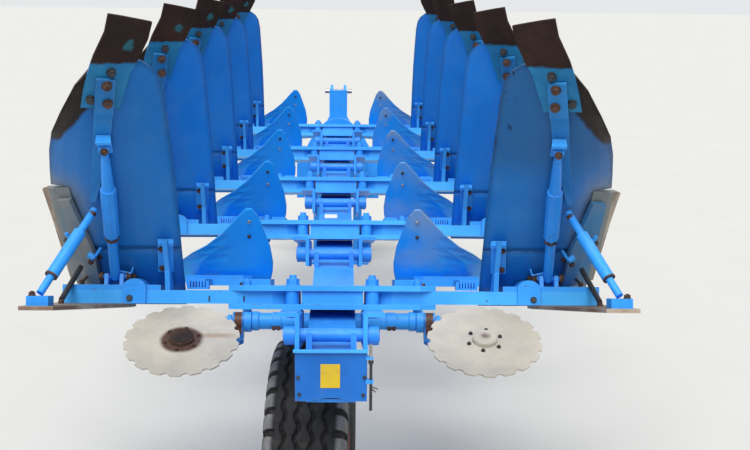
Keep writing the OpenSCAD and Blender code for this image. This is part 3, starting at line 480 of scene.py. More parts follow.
def finish_steel(m, colour, fine, metallic):
    m.set(Base_Color=colour, Metallic=metallic)
    m.set(Roughness=m.blend(m.step(fine, 0.3, 0.7), 0.42, 0.66))
    m.bump(fine, 0.25, 0.001)
    return m.material


def worn_steel(name):
    """Worn steel under a brown film, brighter at its edges."""
    m = Mat(name)
    big, fine = steel_noises(m)
    colour = m.mix(m.step(big, 0.34, 0.62), (0.40, 0.34, 0.27), (0.17, 0.105, 0.072))
    colour = m.mix(m.times(m.edge(0.005), 0.5), colour, (0.50, 0.46, 0.42))
    return finish_steel(m, colour, fine, 0.55)


def hub_places():
    """Middle of each disc's hub, right and left."""
    pins = {joint["name"]: Vector(joint["pos_m"]) for joint in frame["joints"]}
    return [pins["disc_spin_" + side] + DISC_AXIS * DISC_LIFT for side in ("right", "left")]


def disc_steel(name):
    """Pale discs: a small rust spot on the right one, a wide one and a streak on the left."""
    m = Mat(name)
    _, left = hub_places()
    big, fine = steel_noises(m)
    colour = m.mix(m.step(big, 0.35, 0.68), (0.66, 0.61, 0.51), (0.52, 0.49, 0.43))
    near = 0.0
    for hub, reach in zip(hub_places(), ((0.036, 0.052), (0.082, 0.104))):
        distance = m.node("ShaderNodeVectorMath", operation="DISTANCE")
        m.put(distance.inputs[0], m.place)
        m.put(distance.inputs[1], hub)
        ragged = m.plus(distance.outputs["Value"], m.times(big, 0.030))
        near = m.larger(near, m.inverse(m.step(ragged, *reach)))
    x, y, _ = m.axes()
    off = m.size(m.plus(m.minus(y, left.y + 0.022), m.times(m.minus(fine, 0.5), 0.016)))
    away = m.minus(x, left.x)
    length = m.times(m.step(away, 0.05, 0.07), m.inverse(m.step(away, 0.15, 0.22)))
    streak = m.times(m.inverse(m.step(off, 0.004, 0.020)), length)
    colour = m.mix(m.times(streak, 0.55), colour, (0.34, 0.20, 0.12))
    rust = m.mix(m.step(fine, 0.4, 0.65), (0.075, 0.040, 0.030), (0.135, 0.078, 0.056))
    colour = m.mix(near, colour, rust)
    spots = m.step(m.noise(22, 5, 0.7), 0.60, 0.70)
    colour = m.mix(m.times(spots, 0.30), colour, (0.34, 0.26, 0.18))
    return finish_steel(m, colour, fine, 0.12)


def bolt_steel(name):
    m = Mat(name)
    n = m.noise(45, 5, 0.7)
    colour = m.mix(m.step(n, 0.38, 0.62), (0.042, 0.026, 0.022), (0.120, 0.062, 0.044))
    m.set(Base_Color=colour, Metallic=0.45)
    m.set(Roughness=m.blend(n, 0.5, 0.8))
    m.bump(m.noise(160, 4, 0.7), 0.3, 0.0008)
    return m.material


def pin_steel(name):
    m = Mat(name)
    n = m.noise(30, 5, 0.6)
    bright = (0.42, 0.42, 0.43)
    colour = m.mix(m.step(n, 0.4, 0.7), bright, tuple(c * 0.6 for c in bright))
    m.set(Base_Color=colour, Metallic=0.85)
    m.set(Roughness=m.blend(n, 0.28, 0.48))
    m.bump(m.noise(200, 3, 0.6), 0.1, 0.0005)
    return m.material


def rim_red(name):
    m = Mat(name)
    n = m.noise(9, 6, 0.65)
    colour = m.mix(m.step(n, 0.35, 0.7), (0.44, 0.028, 0.020), (0.24, 0.060, 0.045))
    colour = m.mix(m.times(m.step(m.noise(30, 5, 0.7), 0.5, 0.7), 0.3), colour, DUST)
    m.set(Base_Color=colour)
    m.set(Roughness=m.blend(n, 0.38, 0.6))
    m.bump(m.noise(120, 3, 0.6), 0.12, 0.0008)
    return m.material


def tyre_rubber(name):
    """Black rubber, with dry soil on the blocks of the tyre's shoulders."""
    m = Mat(name)
    n = m.noise(12, 6, 0.7)
    fine = m.noise(150, 4, 0.7)
    colour = m.mix(m.step(n, 0.40, 0.72), (0.010, 0.010, 0.011), (0.022, 0.022, 0.023))
    dust_and_top_light = m.times(m.step(m.noise(26, 5, 0.7), 0.5, 0.72), 0.10)
    colour = m.mix(dust_and_top_light, colour, (0.16, 0.155, 0.15))
    # Place in the wheel's own directions
    x, y, z = m.axes()
    right, back, up = m.minus(x, WHEEL_X), m.minus(y, WHEEL_Y), m.minus(z, WHEEL_Z)
    cos, sin = math.cos(WHEEL_YAW), math.sin(WHEEL_YAW)
    width = m.size(m.plus(m.times(right, cos), m.times(back, sin)))
    along = m.minus(m.times(back, cos), m.times(right, sin))
    radius = m.math("SQRT", m.plus(m.times(along, along), m.times(up, up)))
    turned = m.times(m.math("ARCTAN2", up, along), TREAD_BLOCKS / (2 * math.pi))
    block = m.step(m.size(m.minus(m.math("FRACT", turned), 0.5)), 0.15, 0.20)
    shoulder = m.times(m.step(width, 0.092, 0.108), m.inverse(m.step(width, 0.1322, 0.1336)),
                       m.step(radius, 0.345, 0.362),
                       m.times(block, m.blend(m.step(n, 0.35, 0.65), 0.55, 1.0)))
    m.set(Base_Color=m.mix(shoulder, colour, (0.205, 0.205, 0.210)), Specular_IOR_Level=0.25)
    m.set(Roughness=m.blend(n, 0.62, 0.82))
    m.bump(fine, 0.25, 0.0009)
    return m.material


def gloss_paint(name, base, rough=0.35):
    m = Mat(name)
    n = m.noise(18, 5, 0.65)
    m.set(Base_Color=m.mix(m.step(n, 0.45, 0.75), base, tuple(c * 0.72 + 0.03 for c in base)))
    m.set(Roughness=m.blend(n, rough, rough + 0.2))
    m.bump(m.noise(140, 3, 0.6), 0.08, 0.0006)
    return m.material


def chrome(name):
    m = Mat(name)
    n = m.noise(60, 4, 0.6)
    m.set(Base_Color=m.mix(n, (0.72, 0.72, 0.73), (0.60, 0.60, 0.62)), Metallic=1.0)
    m.set(Roughness=m.blend(n, 0.08, 0.16))
    return m.material


def floor_paint(name):
    m = Mat(name)
    n = m.noise(1.4, 5, 0.6)
    m.set(Base_Color=m.mix(n, (0.60, 0.595, 0.575), (0.65, 0.645, 0.62)), Roughness=0.85)
    return m.material


MATERIALS = {name: make(name, **options) for name, make, options in (
    ("blue_paint", blue_paint, {}),
    ("board_paint", board_paint, {}),
    ("skim_paint", skim_paint, {}),
    ("rusty_steel", rusty_steel, {}),
    ("worn_steel", worn_steel, {}),
    ("disc_steel", disc_steel, {}),
    ("bolt_steel", bolt_steel, {}),
    ("pin_steel", pin_steel, {}),
    ("rim_red", rim_red, {}),
    ("tyre_rubber", tyre_rubber, {}),
    ("cylinder_black", gloss_paint, {"base": (0.022, 0.022, 0.025)}),
    ("rod_chrome", chrome, {}),
    ("yellow_plate", gloss_paint, {"base": (0.60, 0.42, 0.010), "rough": 0.45}),
    ("white_plate", gloss_paint, {"base": (0.80, 0.80, 0.80), "rough": 0.45}),
    # Painted shade: the straps stand in shadow, so their paint is a darker copy of the blue with less of the
    # lighter tops
    ("shaded_strap_paint", blue_paint, {"base": (0.009, 0.170, 0.50), "dust_and_top_light": 0.16}),
    # Painted shade: the rear plate stands upright and gets less light than the legs, so its paint is a darker copy
    # of the blue
    ("shaded_plate_paint", blue_paint, {"base": (0.006, 0.135, 0.54), "wear": 0.46}),
    ("stay_paint", blue_paint, {"base": (0.016, 0.260, 0.88), "wear": 0.50, "faded": 0.55}),
    # Painted light: the legs, their holders and the rear flange turn up towards the light, so their paint is a
    # lighter copy of the blue
    ("lit_leg_paint", blue_paint, {"base": (0.036, 0.360, 0.93)}),
    # Painted shade: the cross tubes get a darker copy of the blue, against the light on their upper, rear faces
    ("shaded_tube_paint", blue_paint, {"base": (0.014, 0.215, 0.84)}),
    ("beam_paint", blue_paint, {"base": (0.020, 0.260, 0.86)}),
    ("arm_paint", blue_paint, {"base": (0.008, 0.150, 0.52), "rusty": (0.354, 0.384)}),
    ("share_steel", share_steel, {}),
    ("tail_paint", tail_paint, {}),
    ("rail_paint", rail_paint, {}),
    ("dark_bolt", gloss_paint, {"base": (0.020, 0.022, 0.026), "rough": 0.5}),
)}

# CAD nodes with a finish of their own, instead of the one that their slot names
OWN_FINISH = {
    "skimmers": "skim_paint", "tail_extensions": "tail_paint", "share_rails": "rail_paint",
    "shares": "share_steel", "straps": "shaded_strap_paint", "stays": "stay_paint",
    "legs": "lit_leg_paint", "leg_holders": "lit_leg_paint", "holder_bolts": "blue_paint",
    "cross_tubes": "shaded_tube_paint", "main_beam": "beam_paint", "rear_plate": "shaded_plate_paint",
    "disc_right": "disc_steel", "disc_left": "disc_steel",
    "disc_arm_right": "arm_paint", "disc_arm_left": "arm_paint",
}


def dress_nodes():
    """Give each CAD node its finish."""
    for part in frame["record"]["subparts"]:
        node = frame["nodes"][part["node"]]
        node.data.materials.clear()
        node.data.materials.append(
            MATERIALS[OWN_FINISH.get(part["node"], part["material_slot"])])


def mesh_object(name, bm, material):
    mesh = bpy.data.meshes.new(name)
    bm.to_mesh(mesh)
    bm.free()
    mesh.materials.append(material)
    piece = bpy.data.objects.new(name, mesh)
    scene.collection.objects.link(piece)
    return piece


def mesh_piece(name, bm, finish, body, smooth=30):
    """Piece on a body, shaded smooth below an angle in degrees, with the finish as its material."""
    bmesh.ops.recalc_face_normals(bm, faces=bm.faces)
    piece = mesh_object(name, bm, MATERIALS[finish])
    if smooth:
        for polygon in piece.data.polygons:
            polygon.use_smooth = True
        with bpy.context.temp_override(object=piece, selected_objects=[piece],
                                       selected_editable_objects=[piece], active_object=piece):
            bpy.ops.object.shade_smooth_by_angle(angle=math.radians(smooth))
    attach(piece, body)
    return piece


def row_y(row):
    """Place of a row's cross tube along the beam."""
    return ROW0 + row * PITCH


def row_matrix(row):
    """Frame of a row, in which z is the throw of its bodies."""
    return Matrix.Translation((0, row_y(row), LEG_Z)) @ Matrix.Rotation(-BODY_ANGLE, 4, "X")


def in_row(row, side, place, axis=(0, 0, 1)):
    """World place and direction of a point in a row's frame; side is 1 or -1."""
    m = row_matrix(row)
    p, d = m @ Vector(place), m.to_3x3() @ Vector(axis)
    return Vector((side * p.x, p.y, p.z)), Vector((side * d.x, d.y, d.z))


def shin_v(h):
    """How far ahead the shin stands at a height above the sole."""
    turn = math.acos(max(0.0, math.cos(FOOT_ANGLE) - h / CURVE_R))
    return POINT_V - CURVE_R * (math.sin(turn) - math.sin(FOOT_ANGLE)) / math.sin(SHARE_ANGLE)


def face_point(u, h):
    """Point of a body's face at a throw u and a height h, in its row's frame."""
    line = math.radians(LINE_ANGLE + LINE_TWIST * (h / BOARD_H) ** 2)
    return Vector((SOLE_X - h, shin_v(h) - u / math.tan(line), u))


def face_out(u, h):
    """Direction out of a body's face."""
    e = 0.001
    a = face_point(u + e, h) - face_point(u - e, h)
    b = face_point(u, h + e) - face_point(u, h - e)
    return b.cross(a).normalized()


def behind_face(u, h, depth):
    return face_point(u, h) - face_out(u, h) * depth


def on_body(row, side, u, h, depth):
    """World place behind a body's face, and the direction out of its back."""
    return in_row(row, side, behind_face(u, h, depth), -face_out(u, h))


def add_ring(bm, place, axis, profile, count, spin=0.0):
    """Turned shape: profile is a list of (radius, height) along the axis."""
    origin = Vector(place)
    turn = Vector((0, 0, 1)).rotation_difference(Vector(axis).normalized())
    rings = []
    for r, h in profile:
        ring = []
        for k in range(count):
            a = 2 * math.pi * k / count + spin
            ring.append(bm.verts.new(origin + turn @ Vector((r * math.cos(a), r * math.sin(a), h))))
        rings.append(ring)
    for a, b in zip(rings, rings[1:]):
        for k in range(count):
            bm.faces.new((a[k], a[(k + 1) % count], b[(k + 1) % count], b[k]))
    bm.faces.new(list(reversed(rings[0])))
    bm.faces.new(rings[-1])


def add_rod(bm, start, end, r, count, spin=0.0):
    """Rod with count sides between two points."""
    start, end = Vector(start), Vector(end)
    add_ring(bm, start, end - start, [(r, 0), (r, (end - start).length)], count, spin)


# How far a washer is sunk and how thick it is, where its chamfer begins and where a head sits
WASHER_SUNK, WASHER_T = 0.0012, 0.0042
WASHER_EDGE, WASHER_SEAT = 0.0032, 0.004


def add_bolt(bm, place, axis, d, nut=False):
    """Six-sided head of a bolt of diameter d on a washer; a nut also shows the bolt's end."""
    spin = rng.uniform(0, 1.0)
    axis = Vector(axis).normalized()
    base = Vector(place) - axis * WASHER_SUNK
    washer = d * 1.05
    add_ring(bm, base, axis,
             [(washer, 0), (washer, WASHER_EDGE), (washer - 0.001, WASHER_T)], 16)
    head, tall = d * 0.92, d * (0.78 if nut else 0.62)
    top = base + axis * WASHER_SEAT
    add_ring(bm, top, axis,
             [(head * 0.97, 0), (head, 0.001), (head, tall - 0.0016), (head * 0.90, tall)], 6, spin)
    if nut:
        add_ring(bm, top + axis * (tall - 0.001), axis,
                 [(d * 0.5, 0), (d * 0.5, d * 0.30), (d * 0.40, d * 0.38)], 12)


def add_box(bm, low, high, bevel=0.001):
    """Box between two corners, with rounded edges."""
    box = bmesh.new()
    bmesh.ops.create_cube(box, size=1.0)
    for vert in box.verts:
        vert.co = Vector([a + (c + 0.5) * (b - a)
                          for a, b, c in zip(Vector(low), Vector(high), vert.co)])
    bmesh.ops.bevel(box, geom=list(box.edges), offset=bevel, segments=2, affect="EDGES",
                    profile=0.7)
    mesh = bpy.data.meshes.new("box")
    box.to_mesh(mesh)
    box.free()
    bm.from_mesh(mesh)
    bpy.data.meshes.remove(mesh)


def build_floor():
    bm = bmesh.new()
    bmesh.ops.create_grid(bm, x_segments=2, y_segments=2, size=FLOOR_SIZE)
    mesh_object("floor", bm, floor_paint("floor_paint"))


# Tread: half its width, its crown, and the waved grooves that run round it
TREAD_HALF, TREAD_POINTS, CROWN = 0.112, 57, 0.0135
GROOVES, GROOVE_HALF, GROOVE_SLOPE = (-0.064, -0.022, 0.022, 0.064), 0.0035, 0.0030
GROOVE_DEPTH, GROOVE_WAVE = 0.0115, 0.0060
TYRE_POINTS_AROUND = 432

# Notches between the blocks: their depth down and inwards, their half width on the tread and on
# the shoulder with the slope of their walls, all as shares of a block's pitch, and where across
# the tread they begin and fade in
NOTCH_DEPTH, NOTCH_IN = 0.010, 0.0085
TREAD_GAP, SHOULDER_GAP, GAP_SLOPE = 0.12, 0.17, 0.04
NOTCH_FROM, NOTCH_FADE, NOTCH_RUN = 0.088, 0.086, 0.006

# Shoulder and side wall: (distance from the middle, drop below the tyre's radius)
SHOULDER = ((0.120, 0.021), (0.126, 0.034), (0.1305, 0.050), (0.1320, 0.066))
SIDE_WALL = ((0.1315, 0.080), (0.1335, 0.098), (0.1345, 0.125), (0.1330, 0.150),
             (0.1285, 0.176), (0.1290, 0.182), (0.1240, 0.200), (0.1160, 0.2215))


def tyre_profile():
    """Section of the tyre as (x, radius, kind), from the left wall round to the rim."""
    tread = []
    for k in range(TREAD_POINTS):
        x = -TREAD_HALF + 2 * TREAD_HALF * k / (TREAD_POINTS - 1)
        crown = CROWN * (abs(x) / TREAD_HALF) ** 2.4
        tread.append((x, TYRE_R - 0.0005 - crown, "tread"))
    right = [(x, TYRE_R - drop, "block") for x, drop in SHOULDER]
    right += [(x, TYRE_R - drop, "wall") for x, drop in SIDE_WALL]
    left = [(-x, r, kind) for x, r, kind in reversed(right)]
    rim = [(0.105, RIM_R, "wall"), (0.0, RIM_R + 0.004, "wall"), (-0.105, RIM_R, "wall")]
    return left + tread + right + rim


def notch(angle, half_gap):
    """1 in the gap between two blocks, 0 on a block."""
    place = (angle * TREAD_BLOCKS / (2 * math.pi)) % 1.0
    return min(1.0, max(0.0, (half_gap - abs(place - 0.5)) / GAP_SLOPE))


def tread_dip(x, angle):
    """Share of the grooves' depth that is cut at a place of the tread."""
    wave = GROOVE_WAVE * math.sin(angle * TREAD_BLOCKS)
    dip = 0.0
    for k, groove in enumerate(GROOVES):
        off = abs(x - groove - wave * (1 if k % 2 else -1))
        dip = max(dip, 1.0 - min(1.0, max(0.0, (off - GROOVE_HALF) / GROOVE_SLOPE)))
    if abs(x) > NOTCH_FROM:
        fade = min(1.0, (abs(x) - NOTCH_FADE) / NOTCH_RUN)
        dip = max(dip, notch(angle, TREAD_GAP) * fade)
    return dip


def build_tyre():
    """Tyre with waved grooves and blocks on its shoulders."""
    place = (Matrix.Translation((WHEEL_X, WHEEL_Y, WHEEL_Z))
             @ Matrix.Rotation(WHEEL_YAW, 4, "Z"))
    profile = tyre_profile()
    bm = bmesh.new()
    rings = []
    for step in range(TYRE_POINTS_AROUND):
        angle = 2 * math.pi * step / TYRE_POINTS_AROUND
        ring = []
        for x, r, kind in profile:
            if kind == "tread":
                r -= GROOVE_DEPTH * tread_dip(x, angle)
            elif kind == "block":
                cut = notch(angle, SHOULDER_GAP)
                r -= NOTCH_DEPTH * cut
                x -= math.copysign(NOTCH_IN * cut, x)
            ring.append(bm.verts.new(place @ Vector((x, r * math.cos(angle), r * math.sin(angle)))))
        rings.append(ring)
    n = len(profile)
    for a, b in zip(rings, rings[1:] + rings[:1]):
        for k in range(n):
            bm.faces.new((a[k], a[(k + 1) % n], b[(k + 1) % n], b[k]))
    tyre = mesh_piece("tyre_tread", bm, "tyre_rubber", "wheel", smooth=35)
    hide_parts("tyre")


# Bolts on the back of a body as (throw, height, depth behind the face, diameter): two in the
# strap, the stay's eye, two in the upright bracket, two by the share and one low on the board
BACK_BOLTS = (
    (0.584, 0.248, 0.0312, 0.0135), (0.544, 0.244, 0.0312, 0.0135),
    (0.443, 0.222, 0.0546, 0.0110),
    (0.160, 0.331, 0.0212, 0.0092), (0.103, 0.328, 0.0212, 0.0092),
    (0.185, 0.058, 0.0120, 0.0090), (0.150, 0.052, 0.0120, 0.0090),
    (0.128, 0.140, 0.0090, 0.0090),
)
TAIL_BOLTS, TAIL_BOLT_DEPTH = ((0.610, 0.263), (0.546, 0.206)), 0.0192

# Bolts in the row's frame: on the shoe's lip and at the end of the holder plates
SHOE_BOLT, HOLDER_BOLT = (0.612, -0.0622, -0.004), (0.281, 0.045, 0.0360)

# Foot and head of the stay and of the rearmost heel strut, in their row's frame
STAY_FOOT, STAY_HEAD = Vector((0.662, -0.022, 0.060)), behind_face(0.443, 0.222, 0.0427)
HEEL_FOOT, HEEL_HEAD = Vector((0.806, -0.368, 0.0160)), behind_face(0.272, 0.163, 0.023)

# Bolts of the heel strut: (throw, height, depth) of the upper one, and the lower one in the
# row's frame
HEEL_TOP_BOLT, HEEL_FOOT_BOLT = (0.272, 0.163, 0.0385), (0.823, -0.388, 0.0070)

# Ends of the short strut beside the right-hand heel strut; it is dark all over as painted shade, for it stands in
# shadow
SHADED_STRUT = ((0.775, ROW0 + 0.0346, LEG_Z + 0.0834), (0.800, ROW0 - 0.1301, LEG_Z + 0.0241))

# Depth at which the wire clip, the links and their bolts stand behind the face, and the feet of
# their shanks
CLIP_DEPTH, LINK_DEPTH, SHANK_FOOT = 0.035, 0.050, 0.008

# Ends of the wire clip and the stud below it, as (throw, height)
CLIP_START, CLIP_END, STUD = (0.1034, 0.2086), (0.0960, 0.2405), (0.0713, 0.2401)

# Links low on the board's back: both ends, radius and the depth of the shank's foot; and the
# bolts there, two dark ones and two rusty ones
LINKS = (((0.2226, 0.0800), (0.1943, 0.0950), 0.0065, 0.010),
         ((0.1635, 0.1338), (0.1522, 0.1491), 0.0100, SHANK_FOOT))
LINK_BOLTS = ((0.2021, 0.0765), (0.1778, 0.0652), (0.1413, 0.1380), (0.0771, 0.0941))


def add_strut_ring(bm, row, side, foot, head, low, high, r, count, spin=0.0):
    """Ring around a strut, between two shares of its length."""
    start = in_row(row, side, foot + (head - foot) * low)[0]
    end = in_row(row, side, foot + (head - foot) * high)[0]
    add_rod(bm, start, end, r, count, spin)


def add_stay_parts(row, side, rusty):
    """Bolts in the lugs at the stay's foot, and the rusty lock nut above them."""
    for x, out in ((0.6255, -1), (0.6985, 1)):
        add_bolt(rusty, *in_row(row, side, (x, STAY_FOOT.y, STAY_FOOT.z), (out, 0, 0)), 0.0150)
    add_strut_ring(rusty, row, side, STAY_FOOT, STAY_HEAD, 0.318, 0.338, 0.0215, 6, 0.3)


def add_wire_clip(row, side, rusty, blue):
    """Wire clip over the shoe, and the stud below it."""
    start = on_body(row, side, *CLIP_START, CLIP_DEPTH)[0]
    end = on_body(row, side, *CLIP_END, CLIP_DEPTH)[0]
    add_rod(blue, start, end, 0.0034, 8)
    add_rod(blue, on_body(row, side, *CLIP_END, SHANK_FOOT)[0], end, 0.0030, 8)
    foot, out = on_body(row, side, *STUD, 0.010)
    add_rod(rusty, foot, foot + out * 0.016, 0.0085, 10)


def add_links(row, side, rusty, dark, blue):
    """Links and bolts low on the board's back, each on its shank."""
    for start, end, r, foot in LINKS:
        top = on_body(row, side, *end, LINK_DEPTH)[0]
        add_rod(blue, on_body(row, side, *start, LINK_DEPTH)[0], top, r, 12)
        add_rod(blue, on_body(row, side, *end, foot)[0], top, 0.0050, 10)
    for (u, h), bm in zip(LINK_BOLTS, (dark, dark, rusty, rusty)):
        place, out = on_body(row, side, u, h, LINK_DEPTH)
        add_rod(bm, on_body(row, side, u, h, SHANK_FOOT)[0], place, 0.0045, 10)
        add_bolt(bm, place, out, 0.0085)


def add_heel_parts(side, rusty, dark):
    """Bolts of a rearmost heel strut, and the short strut beside it, dark as painted shade."""
    add_strut_ring(rusty, 0, side, HEEL_FOOT, HEEL_HEAD, 0.190, 0.206, 0.0188, 20)
    add_bolt(rusty, *on_body(0, side, *HEEL_TOP_BOLT), 0.0110)
    add_bolt(rusty, *in_row(0, side, HEEL_FOOT_BOLT), 0.0105, nut=True)
    start, end = (Vector((side * x, y, z)) for x, y, z in SHADED_STRUT)
    add_rod(dark, start, end, 0.0085, 14)
    add_bolt(rusty, end + Vector((0.0, -0.004, -0.006)), (0, -1, 0.2), 0.0085)


def build_body_bolts():
    """Fasteners of the bodies: rusty ones, dark ones and blue clips and links in each row."""
    for row in range(ROWS):
        rusty, dark, blue = bmesh.new(), bmesh.new(), bmesh.new()
        for side in SIDES:
            for u, h, depth, d in BACK_BOLTS:
                add_bolt(rusty, *on_body(row, side, u, h, depth), d)
            for u, h in TAIL_BOLTS:
                add_bolt(dark, *on_body(row, side, u, h, TAIL_BOLT_DEPTH), 0.0125, nut=True)
            add_stay_parts(row, side, rusty)
            add_bolt(dark, *in_row(row, side, SHOE_BOLT, (0, -1, 0)), 0.0095)
            add_wire_clip(row, side, rusty, blue)
            add_links(row, side, rusty, dark, blue)
            if row == 0:
                add_heel_parts(side, rusty, dark)
            add_bolt(rusty, *in_row(row, side, HOLDER_BOLT), 0.0085)
        number = row + 1
        mesh_piece("body_bolts_%d" % number, rusty, "bolt_steel", "frame", smooth=25)
        mesh_piece("tail_bolts_%d" % number, dark, "dark_bolt", "frame",
                   smooth=25)
        mesh_piece("wire_clips_%d" % number, blue, "blue_paint", "frame")


# Upper and lower bolt of a right-hand skimmer, from its row's cross tube, and their direction
SKIMMER_BOLTS = (((0.272, 0.2325, 0.189), (-0.14, -0.90, -0.415)),
                 ((0.274, 0.2575, 0.135), (-0.12, -0.90, -0.430)))
SKIMMER_BOLT_D = 0.0060

# Dark rods in the slots of the rear left leg: painted shade inside the slots
SLOTS_X, SLOT_R = (-0.373, -0.268), 0.0024
SLOT_TOP, SLOT_FOOT = (ROW0 - 0.0477, LEG_Z + 0.0153), (ROW0 - 0.0518, LEG_Z - 0.0009)


def build_skimmer_bolts():
    """A light bolt and a dark one through each skimmer, and dark rods as painted shade in the slots of the rear
    left leg.
    """
    light, dark = bmesh.new(), bmesh.new()
    for row in range(ROWS):
        upper_and_lower = (light, dark) if row == 0 else (dark, light)
        for side in SIDES:
            for bm, ((x, y, z), (dx, dy, dz)) in zip(upper_and_lower, SKIMMER_BOLTS):
                add_bolt(bm, (side * x, row_y(row) + y, LEG_Z + z), (side * dx, dy, dz),
                         SKIMMER_BOLT_D)
    for x in SLOTS_X:
        add_rod(dark, (x, *SLOT_TOP), (x, *SLOT_FOOT), SLOT_R, 8)
    mesh_piece("skimmer_bolts_light", light, "pin_steel", "frame", smooth=25)
    mesh_piece("skimmer_bolts_dark", dark, "dark_bolt", "frame", smooth=25)


def build_pivots():
    """Bushings that stand out behind the legs' eyes, between the holder plates."""
    x, y, half = 0.122, -0.0500, 0.0202
    bm = bmesh.new()
    for row in range(ROWS):
        for side in SIDES:
            low, high = (in_row(row, side, (x, y, z))[0] for z in (-half, half))
            add_rod(bm, low, high, 0.0205, 24)
    mesh_piece("pivot_bushings", bm, "blue_paint", "frame")


# Bolts at the rear plate's sides as (x, z)
REAR_BOLTS = ((-0.0915, 0.9436), (-0.0880, 0.8940), (0.0925, 0.9442), (0.0890, 0.8925))

# Pin beside the rear plate as (x, z) from its foot up, and the radii of its rod and collar
PIN_FOOT, PIN_NECK, PIN_COLLAR, PIN_TOP = ((0.1105, 0.848), (0.1100, 0.986), (0.1099, 0.993),
                                           (0.1091, 1.0414))
PIN_R, PIN_COLLAR_R, PIN_OVERLAP = 0.0042, 0.0075, 0.001

# Wires of the split pin that holds it: x of the outer end, and the height of both ends
SPLIT_WIRES, SPLIT_PIN_X = ((0.1300, 0.918, 0.912), (0.1240, 0.912, 0.903)), 0.1130
SPLIT_PIN_R = 0.0016

# Leaves of the clip: x of their outer end, and their low and high side; and the flange's corners
CLIP_LEAVES, CLIP_X = ((0.117, 0.926, 0.938), (0.116, 0.996, 1.004)), 0.096
FLANGE_LOW, FLANGE_HIGH = (-0.1050, 1.0168), (0.1020, 1.0240)


def build_rear_end():
    """Bolts at the rear plate's sides, its flange, and the pin kept in the clip beside it."""
    y = REAR_FACE
    bolts = bmesh.new()
    for x, z in REAR_BOLTS:
        add_bolt(bolts, (x, y, z), (0, -1, 0), 0.0050)
    add_rod(bolts, (PIN_FOOT[0], y, PIN_FOOT[1]), (PIN_NECK[0], y, PIN_NECK[1]), PIN_R, 12)
    add_rod(bolts, (PIN_NECK[0], y, PIN_NECK[1] - PIN_OVERLAP),
            (PIN_COLLAR[0], y, PIN_COLLAR[1]), PIN_COLLAR_R, 14)
    for x, inner, outer in SPLIT_WIRES:
        add_rod(bolts, (SPLIT_PIN_X, y - 0.004, inner), (x, y - 0.006, outer), SPLIT_PIN_R, 8)
    mesh_piece("rear_bolts", bolts, "dark_bolt", "frame", smooth=25)
    pin = bmesh.new()
    add_rod(pin, (PIN_COLLAR[0], y, PIN_COLLAR[1] - PIN_OVERLAP), (PIN_TOP[0], y, PIN_TOP[1]),
            PIN_R, 12)
    mesh_piece("rear_pin", pin, "pin_steel", "frame", smooth=25)
    clip = bmesh.new()
    for outer, low, high in CLIP_LEAVES:
        add_box(clip, (CLIP_X, y - 0.004, low), (outer, y + 0.010, high))
    mesh_piece("rear_clip", clip, "blue_paint", "frame", smooth=0)
    # The flange takes the legs' lighter paint: painted light on the plate's lit top edge
    flange = bmesh.new()
    add_box(flange, (FLANGE_LOW[0], y - 0.0095, FLANGE_LOW[1]),
            (FLANGE_HIGH[0], y + 0.002, FLANGE_HIGH[1]))
    mesh_piece("rear_flange", flange, "lit_leg_paint", "frame", smooth=0)


# Collars on the disc stalk, as the x of their inner end and their profile
COLLARS = (
    (0.288, ((0.0335, 0), (0.0375, 0.004), (0.0375, 0.026), (0.0340, 0.0305))),
    (0.202, ((0.0330, 0), (0.0350, 0.002), (0.0350, 0.034), (0.0330, 0.036))),
)


def build_stalk_parts():
    """Collars on the disc stalk, with the bolts of the inner ones."""
    collars, bolts = bmesh.new(), bmesh.new()
    for side in SIDES:
        for x, profile in COLLARS:
            add_ring(collars, (side * x, STALK_Y, STALK_Z), (side, 0, 0), profile, 32)
        for x in (0.214, 0.232):
            add_bolt(bolts, (side * x, STALK_Y - 0.030, STALK_Z - 0.018), (0, -0.86, -0.5),
                     0.0085, nut=True)
    mesh_piece("stalk_collars", collars, "blue_paint", "frame")
    mesh_piece("stalk_bolts", bolts, "bolt_steel", "frame", smooth=25)


# Disc hubs: how far the cap and the bolts stand out along the axis, the cap's profile, and the
# circle of the bolts
HUB_CAP_OUT, HUB_BOLTS_OUT = 0.0188, 0.003
HUB_CAP = ((0.0430, 0), (0.0430, 0.002), (0.0400, 0.0045), (0.0200, 0.0060))
HUB_BOLTS, HUB_BOLT_CIRCLE, HUB_BOLT_D = 6, 0.0640, 0.0078


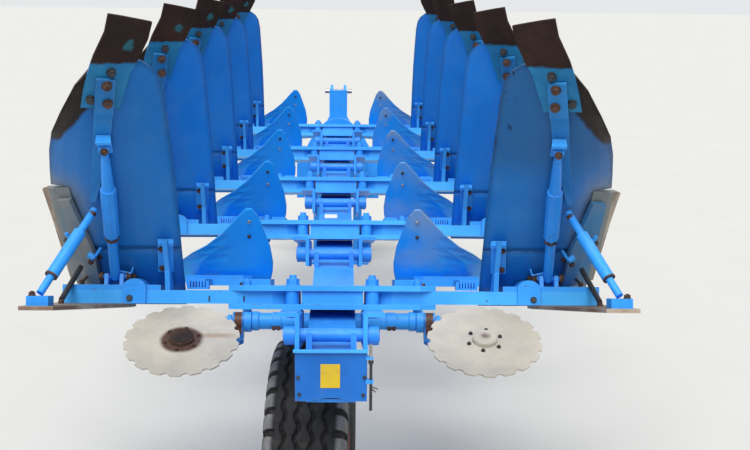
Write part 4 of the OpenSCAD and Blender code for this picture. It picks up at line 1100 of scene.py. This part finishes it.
def build_hub_caps():
    """Caps on the disc hubs, and the ring of bolts around each."""
    turn = Vector((0, 0, 1)).rotation_difference(DISC_AXIS)
    finishes = (("right", "disc_steel", "dark_bolt"), ("left", "rusty_steel", "bolt_steel"))
    for (side, cap_finish, bolt_finish), hub in zip(finishes, hub_places()):
        cap = bmesh.new()
        add_ring(cap, hub + DISC_AXIS * HUB_CAP_OUT, DISC_AXIS, HUB_CAP, 40)
        mesh_piece("hub_cap_" + side, cap, cap_finish, "disc_" + side,
                   smooth=25)
        bolts = bmesh.new()
        for k in range(HUB_BOLTS):
            a = math.radians(20 + 360 / HUB_BOLTS * k)
            place = Vector((HUB_BOLT_CIRCLE * math.cos(a), HUB_BOLT_CIRCLE * math.sin(a), 0.0))
            add_bolt(bolts, hub + DISC_AXIS * HUB_BOLTS_OUT + turn @ place, DISC_AXIS, HUB_BOLT_D)
        mesh_piece("hub_bolts_" + side, bolts, bolt_finish, "disc_" + side,
                   smooth=25)


# Corners of the plain plates: x and z of the yellow one, x and distance behind the third row of
# the white one
YELLOW_LOW, YELLOW_HIGH = (-0.0295, 0.9135), (0.0249, 0.9822)
WHITE_LOW, WHITE_HIGH = (-0.046, 0.490), (0.008, 0.412)


def build_plates():
    """Plain yellow plate on the rear plate, and a plain white one on the beam."""
    yellow = bmesh.new()
    add_box(yellow, (YELLOW_LOW[0], REAR_FACE - 0.0015, YELLOW_LOW[1]),
            (YELLOW_HIGH[0], REAR_FACE + 0.0005, YELLOW_HIGH[1]), 0.0006)
    mesh_piece("sign_plate", yellow, "yellow_plate", "frame", smooth=0)
    white = bmesh.new()
    add_box(white, (WHITE_LOW[0], row_y(2) - WHITE_LOW[1], BEAM_TOP - 0.0005),
            (WHITE_HIGH[0], row_y(2) - WHITE_HIGH[1], BEAM_TOP + 0.0010), 0.0004)
    mesh_piece("beam_plate", white, "white_plate", "frame", smooth=0)


scene.view_settings.view_transform = "Standard"
make_camera()
make_sun()
make_world()
dress_nodes()
build_floor()
build_tyre()
build_body_bolts()
build_skimmer_bolts()
build_pivots()
build_rear_end()
build_stalk_parts()
build_hub_caps()
build_plates()
